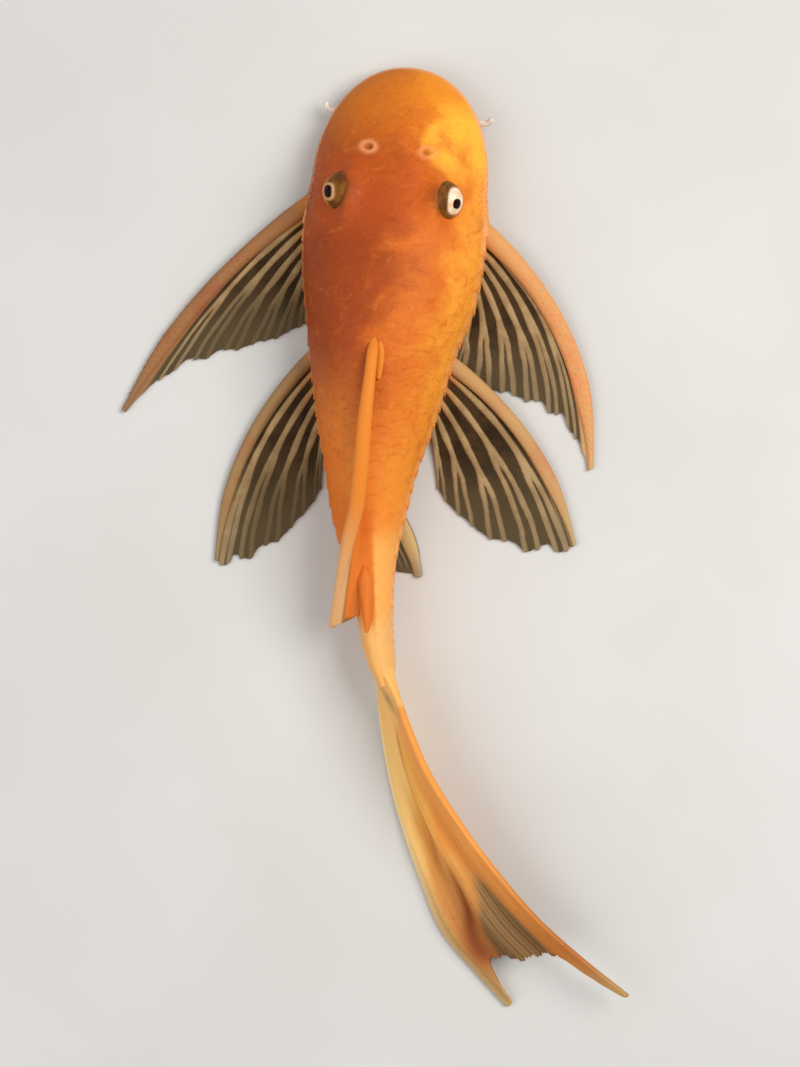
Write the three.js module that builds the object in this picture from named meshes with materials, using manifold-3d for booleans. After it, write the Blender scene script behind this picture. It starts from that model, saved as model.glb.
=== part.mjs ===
// A long-finned orange bristlenose pleco, life size, resting on its belly on a flat surface.
// Millimetres, +Z up, +Y towards the snout and +X to the fish's right. The origin is the middle of
// the footprint's bounding box, on the surface that the fish rests on.
import * as THREE from "three";
import { mergeVertices } from "three/addons/utils/BufferGeometryUtils.js";
import Module from "manifold-3d";

const wasm = await Module();
wasm.setup();

// Sizes of the body
const GAP = 0.3; // kept between neighbouring pieces
const STANDARD_LENGTH = 92.4; // from the snout to the root of the tail fin
const SNOUT_LENGTH = 18; // over which the round snout reaches its full width
const SNOUT_HALF_WIDTH = 13.6;
const SNOUT_ROUNDNESS = 2.1; // of its outline from above: 2 is an ellipse
const SNOUT_LIP_HEIGHT = 2.7; // of the foremost point
const SNOUT_POWER = 0.52; // how bluntly the profile climbs from that point
const CHIN_HEIGHT = 1.9; // of the head's underside, over the mouth disc

// The body's midline seen from above: a gentle bend to the left, then back to the right.
const MIDLINE = [
  [5.7, 73.05],
  [4.8, 64],
  [3.95, 56],
  [3.15, 48],
  [2.3, 38],
  [1.2, 30.5],
  [0.5, 23],
  [-0.25, 15],
  [-0.75, 8],
  [-0.85, 2],
  [-0.5, -4],
  [0, -10],
  [0.6, -16],
  [1.3, -19.6],
];

// Cross-sections behind the snout. s runs along the midline from the snout. The body is widest at
// the keel, power rounds its back (2 is an ellipse), and whatever lies below 0 is flat belly.
const SECTIONS = [
  { s: 18, halfWidth: 13.6, top: 13.8, keel: 3.5, bottom: 1.9, power: 2.0 },
  { s: 24, halfWidth: 14.3, top: 15.3, keel: 3.6, bottom: 0.8, power: 2.0 },
  { s: 30, halfWidth: 14.0, top: 16.4, keel: 3.7, bottom: -0.6, power: 2.05 },
  { s: 36, halfWidth: 13.3, top: 17.1, keel: 3.8, bottom: -0.8, power: 2.1 },
  { s: 42, halfWidth: 11.8, top: 17.3, keel: 3.8, bottom: -0.8, power: 2.1 },
  { s: 50, halfWidth: 10.1, top: 16.2, keel: 3.8, bottom: -0.6, power: 2.05 },
  { s: 56, halfWidth: 8.8, top: 15.0, keel: 4.0, bottom: 0.6, power: 2.0 },
  { s: 62, halfWidth: 7.15, top: 13.8, keel: 4.3, bottom: 1.6, power: 2.05 },
  { s: 70, halfWidth: 5.5, top: 12.4, keel: 4.9, bottom: 1.7, power: 2.2 },
  { s: 78, halfWidth: 3.5, top: 11.5, keel: 5.6, bottom: 1.6, power: 2.4 },
  { s: 86, halfWidth: 2.5, top: 11.3, keel: 6.2, bottom: 1.5, power: 2.6 },
  { s: 92.4, halfWidth: 2.0, top: 11.6, keel: 6.4, bottom: 1.3, power: 2.6 },
];
const BELLY_POWER = 5; // squareness of the section under the keel

// The bony plates, in rows along each side
const PLATE_ROWS = 5; // on each side, from the back to the belly's edge
const ROW_SEGMENTS = { head: 5, trunk: 3 };
const BELLY_SEGMENTS = 4;
const LOWEST_ROW_ANGLE = -35; // degrees below the keel, where the plates end
const PLATES_START = 25;
const PLATES_END = 90;
const PLATE_COUNT = 21; // along each row
const PLATE_LIFT = 0.38; // of each plate's rear edge
const PLATE_SCALLOP = 0.55; // how far the rear edge bows tailwards
const PLATE_STEP = 0.28; // length of the drop to the next plate

// Where the body is parted into head, trunk and tail stalk
const HEAD_CUT = { lowS: 20.8, lowZ: 3, highS: 34, highZ: 17 };
const STALK_CUT_S = 61.4;

// Eyes, nostrils, mouth and bristles
const EYE = { s: 20.9, lateral: 7.8, height: 11.9, radius: 3.1 };
const BROW = { lift: 2.1, lateral: 6.6, along: 3.4, across: 1.6 }; // the ridge of bone above each eye
const CHEEK_DIP = { depth: 0.5, lateral: 10.3, reach: 2.6 }; // the hollow below it
const CHEEK_SPINES = {
  rows: [8, 18, 28], // degrees above the keel
  perRow: 3,
  fromS: 20.1,
  pitch: 0.95,
  length: 1.9,
  radius: 0.3,
  rise: 0.45,
};
const NOSTRIL = {
  s: 13.8,
  lateral: 4.6,
  radius: 1.6,
  narrowness: 0.75, // of its length along the head to its width across
  height: 0.55,
  hole: 0.6,
  depth: 1.1,
  lift: 0.35,
};
const MOUTH = { s: 12.5, halfWidth: 8.2, halfLength: 7, rim: 1.9, cup: 0.8, lineWidth: 6.5 };
const BRISTLES = [
  { name: "bristle_left", side: -1, s: 7.5, reach: 1.35, forward: 1.15, radius: 0.32 },
  { name: "bristle_right", side: 1, s: 7.5, reach: 1.9, forward: 0.7, radius: 0.3 },
];
const BRISTLE_HEIGHT = 3.0;

// The paired fins. Angles are in degrees outwards from straight back, and heights are of the
// fin's underside at its root. Each fin is one spine, in front, and a fan of branched rays.
const MEMBRANE = 0.5;
const PECTORAL_RIGHT = {
  name: "pectoral_fin_right",
  side: 1,
  rays: 6,
  root: { fromS: 22.4, toS: 32.9, frontInset: 3.4, rearInset: 1.4 },
  length: 43.6,
  shortest: 0.33,
  lengthPower: 0.7,
  angle: 26.3,
  sweep: 37,
  sweepPower: 2.9,
  bow: 0.124,
  spineWidth: 2.7,
  spineThickness: 1.9,
  rayThickness: 1.15,
  frontHeight: 2.1,
  rearHeight: 1.3,
  steps: 10,
};
const PECTORAL_LEFT = {
  ...PECTORAL_RIGHT,
  name: "pectoral_fin_left",
  side: -1,
  root: { fromS: 21.6, toS: 31.9, frontInset: 1.2, rearInset: 1.4 },
  length: 45.0,
  shortest: 0.2,
  lengthPower: 0.7,
  angle: 43.2,
  sweep: 31,
  sweepPower: 2.2,
  bow: 0.062,
};
const PELVIC_RIGHT = {
  name: "pelvic_fin_right",
  side: 1,
  rays: 5,
  root: { fromS: 44.5, toS: 53.8, frontInset: 3.3, rearInset: 1.2 },
  length: 36.7,
  shortest: 0.31,
  lengthPower: 1.63,
  angle: 35.7,
  sweep: 27.7,
  sweepPower: 1.54,
  bow: 0.095,
  spineWidth: 2.3,
  spineThickness: 1.6,
  rayThickness: 1.05,
  frontHeight: 1.9,
  rearHeight: 0.7,
  steps: 9,
};
const PELVIC_LEFT = {
  ...PELVIC_RIGHT,
  name: "pelvic_fin_left",
  side: -1,
  root: { fromS: 44.5, toS: 55.2, frontInset: 1.6, rearInset: 1.2 },
  length: 37.2,
  shortest: 0.31,
  lengthPower: 1.63,
  angle: 26.8,
  sweep: 19.8,
  sweepPower: 1.9,
  bow: 0.1,
  spineWidth: 1.9,
};
const RAY_SPLIT = 0.45; // share of its length at which a ray branches
const TIP_TAPER = 0.55; // share of its thickness that a ray keeps at its tip
const RAY_FOOT = 0.25; // share of a ray's height that its two sides rise above the membrane
const RAY_HALF_WIDTH = 0.13; // in steps from one ray to the next
const BRANCH_SPREAD = 0.24; // of each branch from its ray, in the same steps
const BRANCH_THICKNESS = 0.85; // of a branch, as a share of its ray's
const MARGIN_NOTCH = 0.035; // share by which the membrane stops short of the rays' tips

// The anal fin lies flat on the surface under the tail stalk, and shows on the right.
const ANAL = {
  fromS: 63.6,
  toS: 67.9,
  rays: 4,
  length: 17.4,
  shortest: 0.48,
  angle: 29,
  sweep: 7,
  spineWidth: 1.4,
  thickness: 1.3,
};

// The dorsal fin is folded back. Its crest is the spine, its foot the back or the last ray, and
// its rear end leans over to the left. lateral is positive to the right.
const DORSAL = {
  rays: 7,
  fromS: 42.4,
  toS: 59.9,
  spineTipS: 87.4,
  lastTipS: 85.4,
  thickness: 1.4,
  spineWidth: 2.1,
  steps: 13,
  crest: [
    { s: 42.4, lateral: 0, z: 17.0 },
    { s: 46.4, lateral: 0, z: 18.4 },
    { s: 53.4, lateral: -0.15, z: 18.7 },
    { s: 60.4, lateral: -0.2, z: 18.0 },
    { s: 67.4, lateral: -0.7, z: 16.6 },
    { s: 74.9, lateral: -3.0, z: 13.8 },
    { s: 81.4, lateral: -4.9, z: 10.8 },
    { s: 87.4, lateral: -6.3, z: 8.4 },
  ],
  foot: [
    { s: 42.4, lateral: 0, z: 15.6 },
    { s: 50.4, lateral: 0, z: 15.2 },
    { s: 59.9, lateral: 0, z: 13.3 },
    { s: 62.4, lateral: -0.1, z: 14.4 },
    { s: 67.4, lateral: -0.5, z: 14.1 },
    { s: 74.4, lateral: -1.1, z: 13.2 },
    { s: 80.4, lateral: -1.5, z: 12.6 },
    { s: 87.4, lateral: -2.1, z: 11.8 },
  ],
};
const ADIPOSE = { fromS: 77.9, toS: 83.4, tipS: 87.9, height: 2.9, lean: -0.2, thickness: 1.0 };

// The tail fin hangs between its lower edge, on the surface, and its upper edge, which leans over
// to the right. Points run from the root to the tips.
const TAIL = {
  rays: 16,
  lower: [
    [1.25, -19.9, 2.4],
    [1.15, -25, 1.6],
    [1.55, -31.5, 0.9],
    [2.9, -39.3, 0.65],
    [5.1, -47, 0.55],
    [7.75, -54.5, 0.5],
    [10.7, -61.5, 0.5],
    [16.8, -68.8, 0.45],
    [20.9, -73.2, 0.4],
  ],
  upper: [
    [1.3, -19.9, 10.6],
    [3.0, -24.5, 10.9],
    [4.4, -29, 11.0],
    [7.8, -36.3, 10.8],
    [13.3, -45, 10.2],
    [19.0, -52.5, 9.4],
    [24.5, -59, 8.5],
    [31, -65.2, 7.3],
    [38.6, -70.8, 6.0],
  ],
  fork: 0.16, // share of the length by which the middle rays are shorter
  rootThickness: 3.4,
  rootReach: 0.16, // share of the length over which the fleshy root thins out
  edgeThickness: 1.3,
  rayThickness: 1.0,
  foldHeight: 0.8,
  foldPitch: 0.42, // share of the fin's width from one fold to the next
  steps: 15,
};

const COLOURS = {
  skin: 0xe8781e,
  fin: 0xb98a4a,
  eye: 0x8a6a35,
  lip: 0xe0a878,
};

const radians = THREE.MathUtils.degToRad;
const lerp = THREE.MathUtils.lerp;
const ease = (low, high, value) => THREE.MathUtils.smoothstep(value, low, high);

// A smooth function through the rows' values of one key, without overshoot between rows.
function track(rows, key) {
  const slopes = rows.slice(1).map((row, i) => (row[key] - rows[i][key]) / (row.s - rows[i].s));
  const tangents = rows.map((_, i) => {
    if (i === 0) return slopes[0];
    if (i === rows.length - 1) return slopes[i - 1];
    const [before, after] = [slopes[i - 1], slopes[i]];
    return before * after <= 0 ? 0 : (2 * before * after) / (before + after);
  });
  return (s) => {
    const found = rows.findIndex((row) => row.s >= s);
    const i = THREE.MathUtils.clamp((found < 0 ? rows.length : found) - 1, 0, rows.length - 2);
    const span = rows[i + 1].s - rows[i].s;
    const t = THREE.MathUtils.clamp((s - rows[i].s) / span, 0, 1);
    const [t2, t3] = [t * t, t * t * t];
    return (
      (2 * t3 - 3 * t2 + 1) * rows[i][key] +
      (t3 - 2 * t2 + t) * span * tangents[i] +
      (3 * t2 - 2 * t3) * rows[i + 1][key] +
      (t3 - t2) * span * tangents[i + 1]
    );
  };
}

const midline = new THREE.CatmullRomCurve3(MIDLINE.map(([x, y]) => new THREE.Vector3(x, y, 0)));
midline.arcLengthDivisions = 400;
const behindSnout = Object.fromEntries(
  ["halfWidth", "top", "keel", "bottom", "power"].map((key) => [key, track(SECTIONS, key)]),
);

// The body's measures at s.
function section(s) {
  if (s >= SNOUT_LENGTH)
    return Object.fromEntries(Object.entries(behindSnout).map(([key, value]) => [key, value(s)]));
  const full = SECTIONS[0];
  const share = Math.max(s, 0) / SNOUT_LENGTH;
  return {
    halfWidth: SNOUT_HALF_WIDTH * (1 - (1 - share) ** SNOUT_ROUNDNESS) ** (1 / SNOUT_ROUNDNESS),
    top: lerp(SNOUT_LIP_HEIGHT, full.top, share ** SNOUT_POWER),
    keel: lerp(SNOUT_LIP_HEIGHT, full.keel, share),
    bottom: lerp(SNOUT_LIP_HEIGHT, CHIN_HEIGHT, Math.min(1, s) ** SNOUT_POWER),
    power: full.power,
  };
}

// The point at s along the body, lateral to its right and z above the surface.
function place(s, lateral, z) {
  const u = THREE.MathUtils.clamp(s / STANDARD_LENGTH, 0, 1);
  const tangent = midline.getTangentAt(u);
  const past = s - u * STANDARD_LENGTH;
  return midline
    .getPointAt(u)
    .addScaledVector(tangent, past)
    .add(new THREE.Vector3(-tangent.y * lateral, tangent.x * lateral, z));
}

// The section's outline at an angle above the keel, as lateral and z. It is grown by `grow`.
function outline(s, degrees, grow = 0) {
  const { halfWidth, top, keel, bottom, power } = section(s);
  const at = (angle) => {
    const [c, h] = [Math.cos(radians(angle)), Math.sin(radians(angle))];
    const squareness = 2 / (angle >= 0 ? power : BELLY_POWER);
    const height = angle >= 0 ? top - keel : keel - bottom;
    return new THREE.Vector2(
      halfWidth * Math.max(c, 0) ** squareness,
      keel + Math.sign(h) * height * Math.abs(h) ** squareness,
    );
  };
  const point = at(degrees);
  if (!grow) return point;
  const along = at(Math.min(degrees + 1, 90)).sub(at(Math.max(degrees - 1, -90)));
  if (along.length() < 1e-6) return point;
  along.normalize();
  return point.add(new THREE.Vector2(along.y, -along.x).multiplyScalar(grow));
}

// How far the bone round the eyes stands above the plain section.
function browLift(s, degrees) {
  const lateral = outline(s, degrees).x;
  const along = s - EYE.s;
  const ridge = (along / BROW.along) ** 2 + ((lateral - BROW.lateral) / BROW.across) ** 2;
  const dip = (along ** 2 + (lateral - CHEEK_DIP.lateral) ** 2) / CHEEK_DIP.reach ** 2;
  const above = degrees > 0 ? 1 : 0;
  return above * (BROW.lift * Math.exp(-ridge) - CHEEK_DIP.depth * Math.exp(-dip));
}

const headCutS = (z) =>
  lerp(HEAD_CUT.lowS, HEAD_CUT.highS, (z - HEAD_CUT.lowZ) / (HEAD_CUT.highZ - HEAD_CUT.lowZ));

// Angles from the back down to the middle of the belly, with each one's place in its plate row.
function ringAngles(segments) {
  const ring = [];
  for (let i = 0; i <= PLATE_ROWS * segments; i++) {
    const inRow = Math.sin((Math.PI * (i % segments)) / segments);
    ring.push({ angle: lerp(90, LOWEST_ROW_ANGLE, i / (PLATE_ROWS * segments)), inRow, plate: 1 });
  }
  for (let i = 1; i <= BELLY_SEGMENTS; i++)
    ring.push({ angle: lerp(LOWEST_ROW_ANGLE, -90, i / BELLY_SEGMENTS), inRow: 0, plate: 0 });
  return ring;
}

// One closed ring of points round the body. raised is 1 on a plate's rear edge and 0 elsewhere.
function bodyRing(s, raised, { segments, grow, floor }) {
  const half = (side) =>
    ringAngles(segments).map(({ angle, inRow, plate }) => {
      const plain = outline(s, angle);
      const behindHead = ease(0, 2, s - headCutS(plain.y));
      const lift = PLATE_LIFT * plate * raised * behindHead * lerp(0.6, 1, inRow);
      const bow = PLATE_SCALLOP * inRow * behindHead * (s < PLATES_END ? 1 : 0);
      const point = outline(s + bow, angle, lift + grow + browLift(s, angle));
      return place(s + bow, side * point.x, Math.max(point.y, floor));
    });
  return [...half(1), ...half(-1).slice(1, -1).reverse()];
}

// A closed tube through rings of equally many points, with its ends fanned to their middles.
function tube(rings) {
  const count = rings[0].length;
  const middle = (ring) =>
    ring.reduce((sum, p) => sum.add(p), new THREE.Vector3()).divideScalar(ring.length);
  const points = [...rings.flat(), middle(rings[0]), middle(rings.at(-1))];
  const [first, last] = [points.length - 2, points.length - 1];
  const faces = [];
  for (let r = 0; r < rings.length - 1; r++)
    for (let i = 0; i < count; i++) {
      const j = (i + 1) % count;
      const [a, b] = [r * count, (r + 1) * count];
      faces.push([a + i, b + i, a + j], [a + j, b + i, b + j]);
    }
  const end = (rings.length - 1) * count;
  for (let i = 0; i < count; i++) {
    const j = (i + 1) % count;
    faces.push([first, i, j], [last, end + j, end + i]);
  }
  return geometryOf(points, faces);
}

// A closed slab between two grids of points, indexed [column][row], with the same faces on both.
function slab(upper, lower) {
  const [columns, rows] = [upper.length, upper[0].length];
  const points = [...upper.flat(), ...lower.flat()];
  const half = columns * rows;
  const faces = [];
  const quad = (a, b, c, d) => faces.push([a, b, c], [a, c, d]);
  for (let c = 0; c < columns - 1; c++)
    for (let r = 0; r < rows - 1; r++) {
      const [a, b] = [c * rows + r, (c + 1) * rows + r];
      quad(a, b, b + 1, a + 1);
      faces.push([half + a, half + b + 1, half + b], [half + a, half + a + 1, half + b + 1]);
    }
  for (let r = 0; r < rows - 1; r++) {
    const end = (columns - 1) * rows + r;
    quad(r + 1, half + r + 1, half + r, r);
    quad(end, half + end, half + end + 1, end + 1);
  }
  for (let c = 0; c < columns - 1; c++) {
    const [a, b] = [c * rows, (c + 1) * rows];
    quad(a, half + a, half + b, b);
    quad(b + rows - 1, half + b + rows - 1, half + a + rows - 1, a + rows - 1);
  }
  return geometryOf(points, faces);
}

function geometryOf(points, faces) {
  const geometry = new THREE.BufferGeometry();
  geometry.setAttribute(
    "position",
    new THREE.Float32BufferAttribute(points.flatMap((p) => [p.x, p.y, p.z]), 3),
  );
  geometry.setIndex(faces.flat());
  return geometry;
}

// A solid for joining and cutting, from a closed geometry that faces out or in.
function solidOf(geometry) {
  const bare = geometry.clone();
  bare.deleteAttribute("normal");
  bare.deleteAttribute("uv");
  const merged = mergeVertices(bare, 1e-4);
  const corners = merged.index.array;
  const solid = (triVerts) =>
    new wasm.Manifold(
      new wasm.Mesh({
        numProp: 3,
        vertProperties: new Float32Array(merged.attributes.position.array),
        triVerts: new Uint32Array(triVerts),
      }),
    );
  const kept = [];
  for (let i = 0; i < corners.length; i += 3) {
    const [a, b, c] = corners.slice(i, i + 3);
    if (a !== b && b !== c && a !== c) kept.push(a, b, c);
  }
  const made = solid(kept);
  if (made.volume() > 0) return made;
  for (let i = 0; i < kept.length; i += 3) [kept[i + 1], kept[i + 2]] = [kept[i + 2], kept[i + 1]];
  return solid(kept);
}

// The largest closed body of a solid, so that no scrap of a cut is left beside it.
function largest(solid) {
  return solid.decompose().sort((a, b) => b.volume() - a.volume())[0];
}

function meshOf(name, solid, colour, roughness = 0.55) {
  const { vertProperties, triVerts } = largest(solid).getMesh();
  const geometry = new THREE.BufferGeometry();
  geometry.setAttribute("position", new THREE.BufferAttribute(vertProperties, 3));
  geometry.setIndex(new THREE.BufferAttribute(triVerts, 1));
  geometry.computeVertexNormals();
  const material = new THREE.MeshStandardMaterial({ color: colour, roughness, metalness: 0 });
  const mesh = new THREE.Mesh(geometry, material);
  mesh.name = name;
  return mesh;
}

// Places of the rings of the head, closer together round the eyes.
function headStations() {
  const stations = [0, 10, 20, 30, 40, 50, 60, 70].map(
    (degrees) => SNOUT_LENGTH * (1 - Math.cos(radians(degrees))),
  );
  for (let i = -4; i <= 4; i++) stations.push(EYE.s + (i * BROW.along) / 3);
  return stations;
}

// Rings from the snout to the root of the tail. The body may be grown, to cut what grows from it.
function bodySolid({ segments = ROW_SEGMENTS.trunk, grow = 0, floor = 0 } = {}) {
  const ring = (s, raised) => bodyRing(s, raised, { segments, grow, floor });
  const rings = headStations().map((s) => ring(s, 0));
  const pitch = (PLATES_END - PLATES_START) / PLATE_COUNT;
  for (let i = 0; i < PLATE_COUNT; i++) {
    rings.push(ring(PLATES_START + i * pitch + PLATE_STEP, 0));
    rings.push(ring(PLATES_START + (i + 1) * pitch, 1));
  }
  rings.push(ring(STANDARD_LENGTH, 0));
  return solidOf(tube(rings));
}

// Everything on one side of a plane that crosses the body at s, leaning back by `lean`.
function halfSpace(s, z, lean, side) {
  const size = 4 * STANDARD_LENGTH;
  const box = new THREE.BoxGeometry(size, size, size);
  box.translate(0, (side * size) / 2, 0);
  const tangent = midline.getTangentAt(s / STANDARD_LENGTH);
  const turn = new THREE.Matrix4().makeRotationX(lean);
  const heading = new THREE.Matrix4().makeRotationZ(Math.atan2(-tangent.x, tangent.y));
  const centre = place(s, 0, z);
  box.applyMatrix4(turn);
  box.applyMatrix4(heading);
  box.translate(centre.x, centre.y, centre.z);
  return solidOf(box);
}

// A frame on the upper surface: the point, and the direction straight out of it.
function surfaceFrame(s, degrees, side) {
  const base = outline(s, degrees);
  const outer = outline(s, degrees, 1);
  const point = place(s, side * base.x, base.y);
  const out = place(s, side * outer.x, outer.y).sub(point).normalize();
  return { point: point.addScaledVector(out, browLift(s, degrees)), out };
}

// The angle above the keel of a point on the back, from how far it lies from the midline.
function angleAt(s, lateral) {
  const { halfWidth, power } = section(s);
  return THREE.MathUtils.radToDeg(Math.acos((lateral / halfWidth) ** (power / 2)));
}

function turnedTo(geometry, { point, out }, depth = 0) {
  const turn = new THREE.Quaternion().setFromUnitVectors(new THREE.Vector3(0, 1, 0), out);
  geometry.applyQuaternion(turn);
  const centre = point.clone().addScaledVector(out, depth);
  geometry.translate(centre.x, centre.y, centre.z);
  return solidOf(geometry);
}

function eyeball(side, extra = 0) {
  const ball = new THREE.SphereGeometry(EYE.radius + extra, 16, 10);
  const centre = place(EYE.s, side * EYE.lateral, EYE.height);
  ball.translate(centre.x, centre.y, centre.z);
  return solidOf(ball);
}

function nostrilFrame(side) {
  return surfaceFrame(NOSTRIL.s, angleAt(NOSTRIL.s, NOSTRIL.lateral), side);
}

function nostrilRim(side) {
  const { radius, height, hole } = NOSTRIL;
  const profile = [
    [0, -height],
    [radius * 1.1, -height],
    [radius, 0.1 * height],
    [0.72 * radius, height],
    [hole, 0.8 * height],
    [0, 0.8 * height],
  ].map(([r, y]) => new THREE.Vector2(r, y));
  const rim = new THREE.LatheGeometry(profile, 14);
  rim.scale(1, 1, NOSTRIL.narrowness);
  return turnedTo(rim, nostrilFrame(side));
}

function nostrilHole(side) {
  const hole = new THREE.CylinderGeometry(NOSTRIL.hole, 0.7 * NOSTRIL.hole, NOSTRIL.depth, 10);
  return turnedTo(hole, nostrilFrame(side), NOSTRIL.lift);
}

// The short hooked spines of the cheek, laid back in front of the pectoral fin.
function cheekSpines(side) {
  const { rows, perRow, fromS, pitch, length, radius, rise } = CHEEK_SPINES;
  const spines = [];
  for (const [row, degrees] of rows.entries())
    for (let i = 0; i < perRow; i++) {
      const s = fromS + (i - 0.3 * row) * pitch;
      const { point, out } = surfaceFrame(s, degrees, side);
      const back = place(s + 1, 0, 0).sub(place(s, 0, 0));
      const along = back.addScaledVector(out, rise).normalize();
      const cone = new THREE.ConeGeometry(radius, length, 5);
      cone.translate(0, length / 4, 0);
      spines.push(turnedTo(cone, { point, out: along }));
    }
  return spines;
}

// The sucker mouth: a shallow cup with a flat rim on the surface, and the line of the mouth.
function mouthDisc() {
  const { halfWidth, halfLength, rim, cup, lineWidth } = MOUTH;
  const top = CHIN_HEIGHT - GAP;
  const profile = [
    [0, cup],
    [halfWidth - 1.9 * rim, cup],
    [halfWidth - 1.3 * rim, 0],
    [halfWidth - 0.35 * rim, 0],
    [halfWidth, 0.35 * top],
    [halfWidth - 0.15 * rim, top],
    [0, top],
  ].map(([r, z]) => new THREE.Vector2(r, z));
  const disc = new THREE.LatheGeometry(profile, 28);
  disc.rotateX(Math.PI / 2);
  disc.scale(1, halfLength / halfWidth, 1);
  const line = new THREE.BoxGeometry(lineWidth, 0.7, 2 * (top - cup) * 0.45);
  line.translate(0, 0.1 * halfLength, cup);
  const at = place(MOUTH.s, 0, 0);
  disc.translate(at.x, at.y, 0);
  line.translate(at.x, at.y, 0);
  return solidOf(disc).subtract(solidOf(line));
}

// A short tapered bristle at the edge of the snout, curling forwards.
function bristle({ side, s, reach, forward, radius }) {
  const start = section(s).halfWidth + GAP;
  const path = new THREE.CatmullRomCurve3([
    place(s, side * start, BRISTLE_HEIGHT),
    place(s, side * (start + 0.55 * reach), BRISTLE_HEIGHT + 0.1),
    place(s - forward, side * (start + reach), BRISTLE_HEIGHT + 0.5),
  ]);
  const rings = [0, 0.25, 0.5, 0.75, 1].map((t) => {
    const centre = path.getPoint(t);
    const along = path.getTangent(t);
    const across = new THREE.Vector3(0, 0, 1).cross(along).normalize();
    const up = along.clone().cross(across);
    const size = radius * lerp(1, 0.7, t);
    return [0, 60, 120, 180, 240, 300].map((degrees) =>
      centre
        .clone()
        .addScaledVector(across, size * Math.cos(radians(degrees)))
        .addScaledVector(up, size * Math.sin(radians(degrees))),
    );
  });
  return solidOf(tube(rings));
}

// The columns of a fan of branched rays: u counts rays from the spine, offset is in shares of the
// spine's width, and kind says what the column is.
function fanColumns(rays) {
  const columns = [-0.5, -0.28, 0, 0.28, 0.5].map((offset) => ({ u: 0, offset, kind: "spine" }));
  columns.push({ u: 0.62, offset: 0, kind: "membrane" });
  for (let ray = 1; ray <= rays; ray++) {
    columns.push({ u: ray, offset: 0, kind: "branch", way: -1 });
    columns.push({ u: ray, offset: 0, kind: "ray" });
    columns.push({ u: ray, offset: 0, kind: "branch", way: 1 });
    if (ray < rays) columns.push({ u: ray + 0.5, offset: 0, kind: "membrane" });
  }
  return columns;
}

// How thick a fan is at a column, and how far a branch has moved off its ray, at v along it.
function fanRelief(column, v, fin) {
  const taper = lerp(1, TIP_TAPER, v);
  const branched = ease(RAY_SPLIT - 0.08, RAY_SPLIT + 0.12, v);
  const ridge = fin.rayThickness * taper;
  if (column.kind === "spine") {
    const shape = Math.sqrt(Math.max(0, 1 - (1.75 * column.offset) ** 2));
    return { thickness: lerp(MEMBRANE, fin.spineThickness * taper, shape), shift: 0 };
  }
  if (column.kind === "membrane") return { thickness: MEMBRANE, shift: 0 };
  if (column.kind === "ray") return { thickness: lerp(ridge, MEMBRANE, branched), shift: 0 };
  const foot = lerp(MEMBRANE, ridge, RAY_FOOT);
  return {
    thickness: lerp(foot, BRANCH_THICKNESS * ridge, branched),
    shift: column.way * lerp(RAY_HALF_WIDTH, BRANCH_SPREAD, branched),
  };
}

// A pectoral or pelvic fin: a fan spread over the surface, coming down from its root on the flank.
function pairedFin(fin, bodyCutter) {
  const { side, rays, root } = fin;
  const rayAt = (u) => {
    const t = THREE.MathUtils.clamp(u / rays, 0, 1);
    const s = lerp(root.fromS, root.toS, t);
    const inset = lerp(root.frontInset, root.rearInset, Math.sqrt(t));
    const start = place(s, side * (section(s).halfWidth - inset), 0);
    const length = fin.length * (1 - (1 - fin.shortest) * t ** fin.lengthPower);
    const angle = radians(fin.angle - fin.sweep * t ** fin.sweepPower);
    const along = new THREE.Vector3(side * Math.sin(angle), -Math.cos(angle), 0);
    const outwards = new THREE.Vector3(side * Math.cos(angle), Math.sin(angle), 0);
    const bow = fin.bow * (1 - 0.6 * t) * length;
    const height = lerp(fin.frontHeight, fin.rearHeight, Math.sqrt(t));
    return { start, along, outwards, length, bow, height };
  };
  const pointAt = (column, v) => {
    const { thickness, shift } = fanRelief(column, v, fin);
    const u = column.u + shift;
    const ray = rayAt(u);
    const reach = column.kind === "membrane" ? v * (1 - MARGIN_NOTCH) : v;
    const width = fin.spineWidth * lerp(1, 0.35, ease(0.7, 1, v));
    const beyond = u > rays ? (u - rays) * 1.5 : 0;
    const plan = ray.start
      .clone()
      .addScaledVector(ray.along, ray.length * reach)
      .addScaledVector(ray.outwards, 4 * ray.bow * reach * (1 - reach) - column.offset * width - beyond);
    const low = ray.height * (1 - reach) ** 1.4;
    return { plan, low, thickness };
  };
  const grid = (top) =>
    fanColumns(rays).map((column) =>
      Array.from({ length: fin.steps + 1 }, (_, row) => {
        const { plan, low, thickness } = pointAt(column, row / fin.steps);
        return plan.setZ(low + (top ? thickness : 0));
      }),
    );
  return largest(solidOf(slab(grid(true), grid(false))).subtract(bodyCutter));
}

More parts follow.
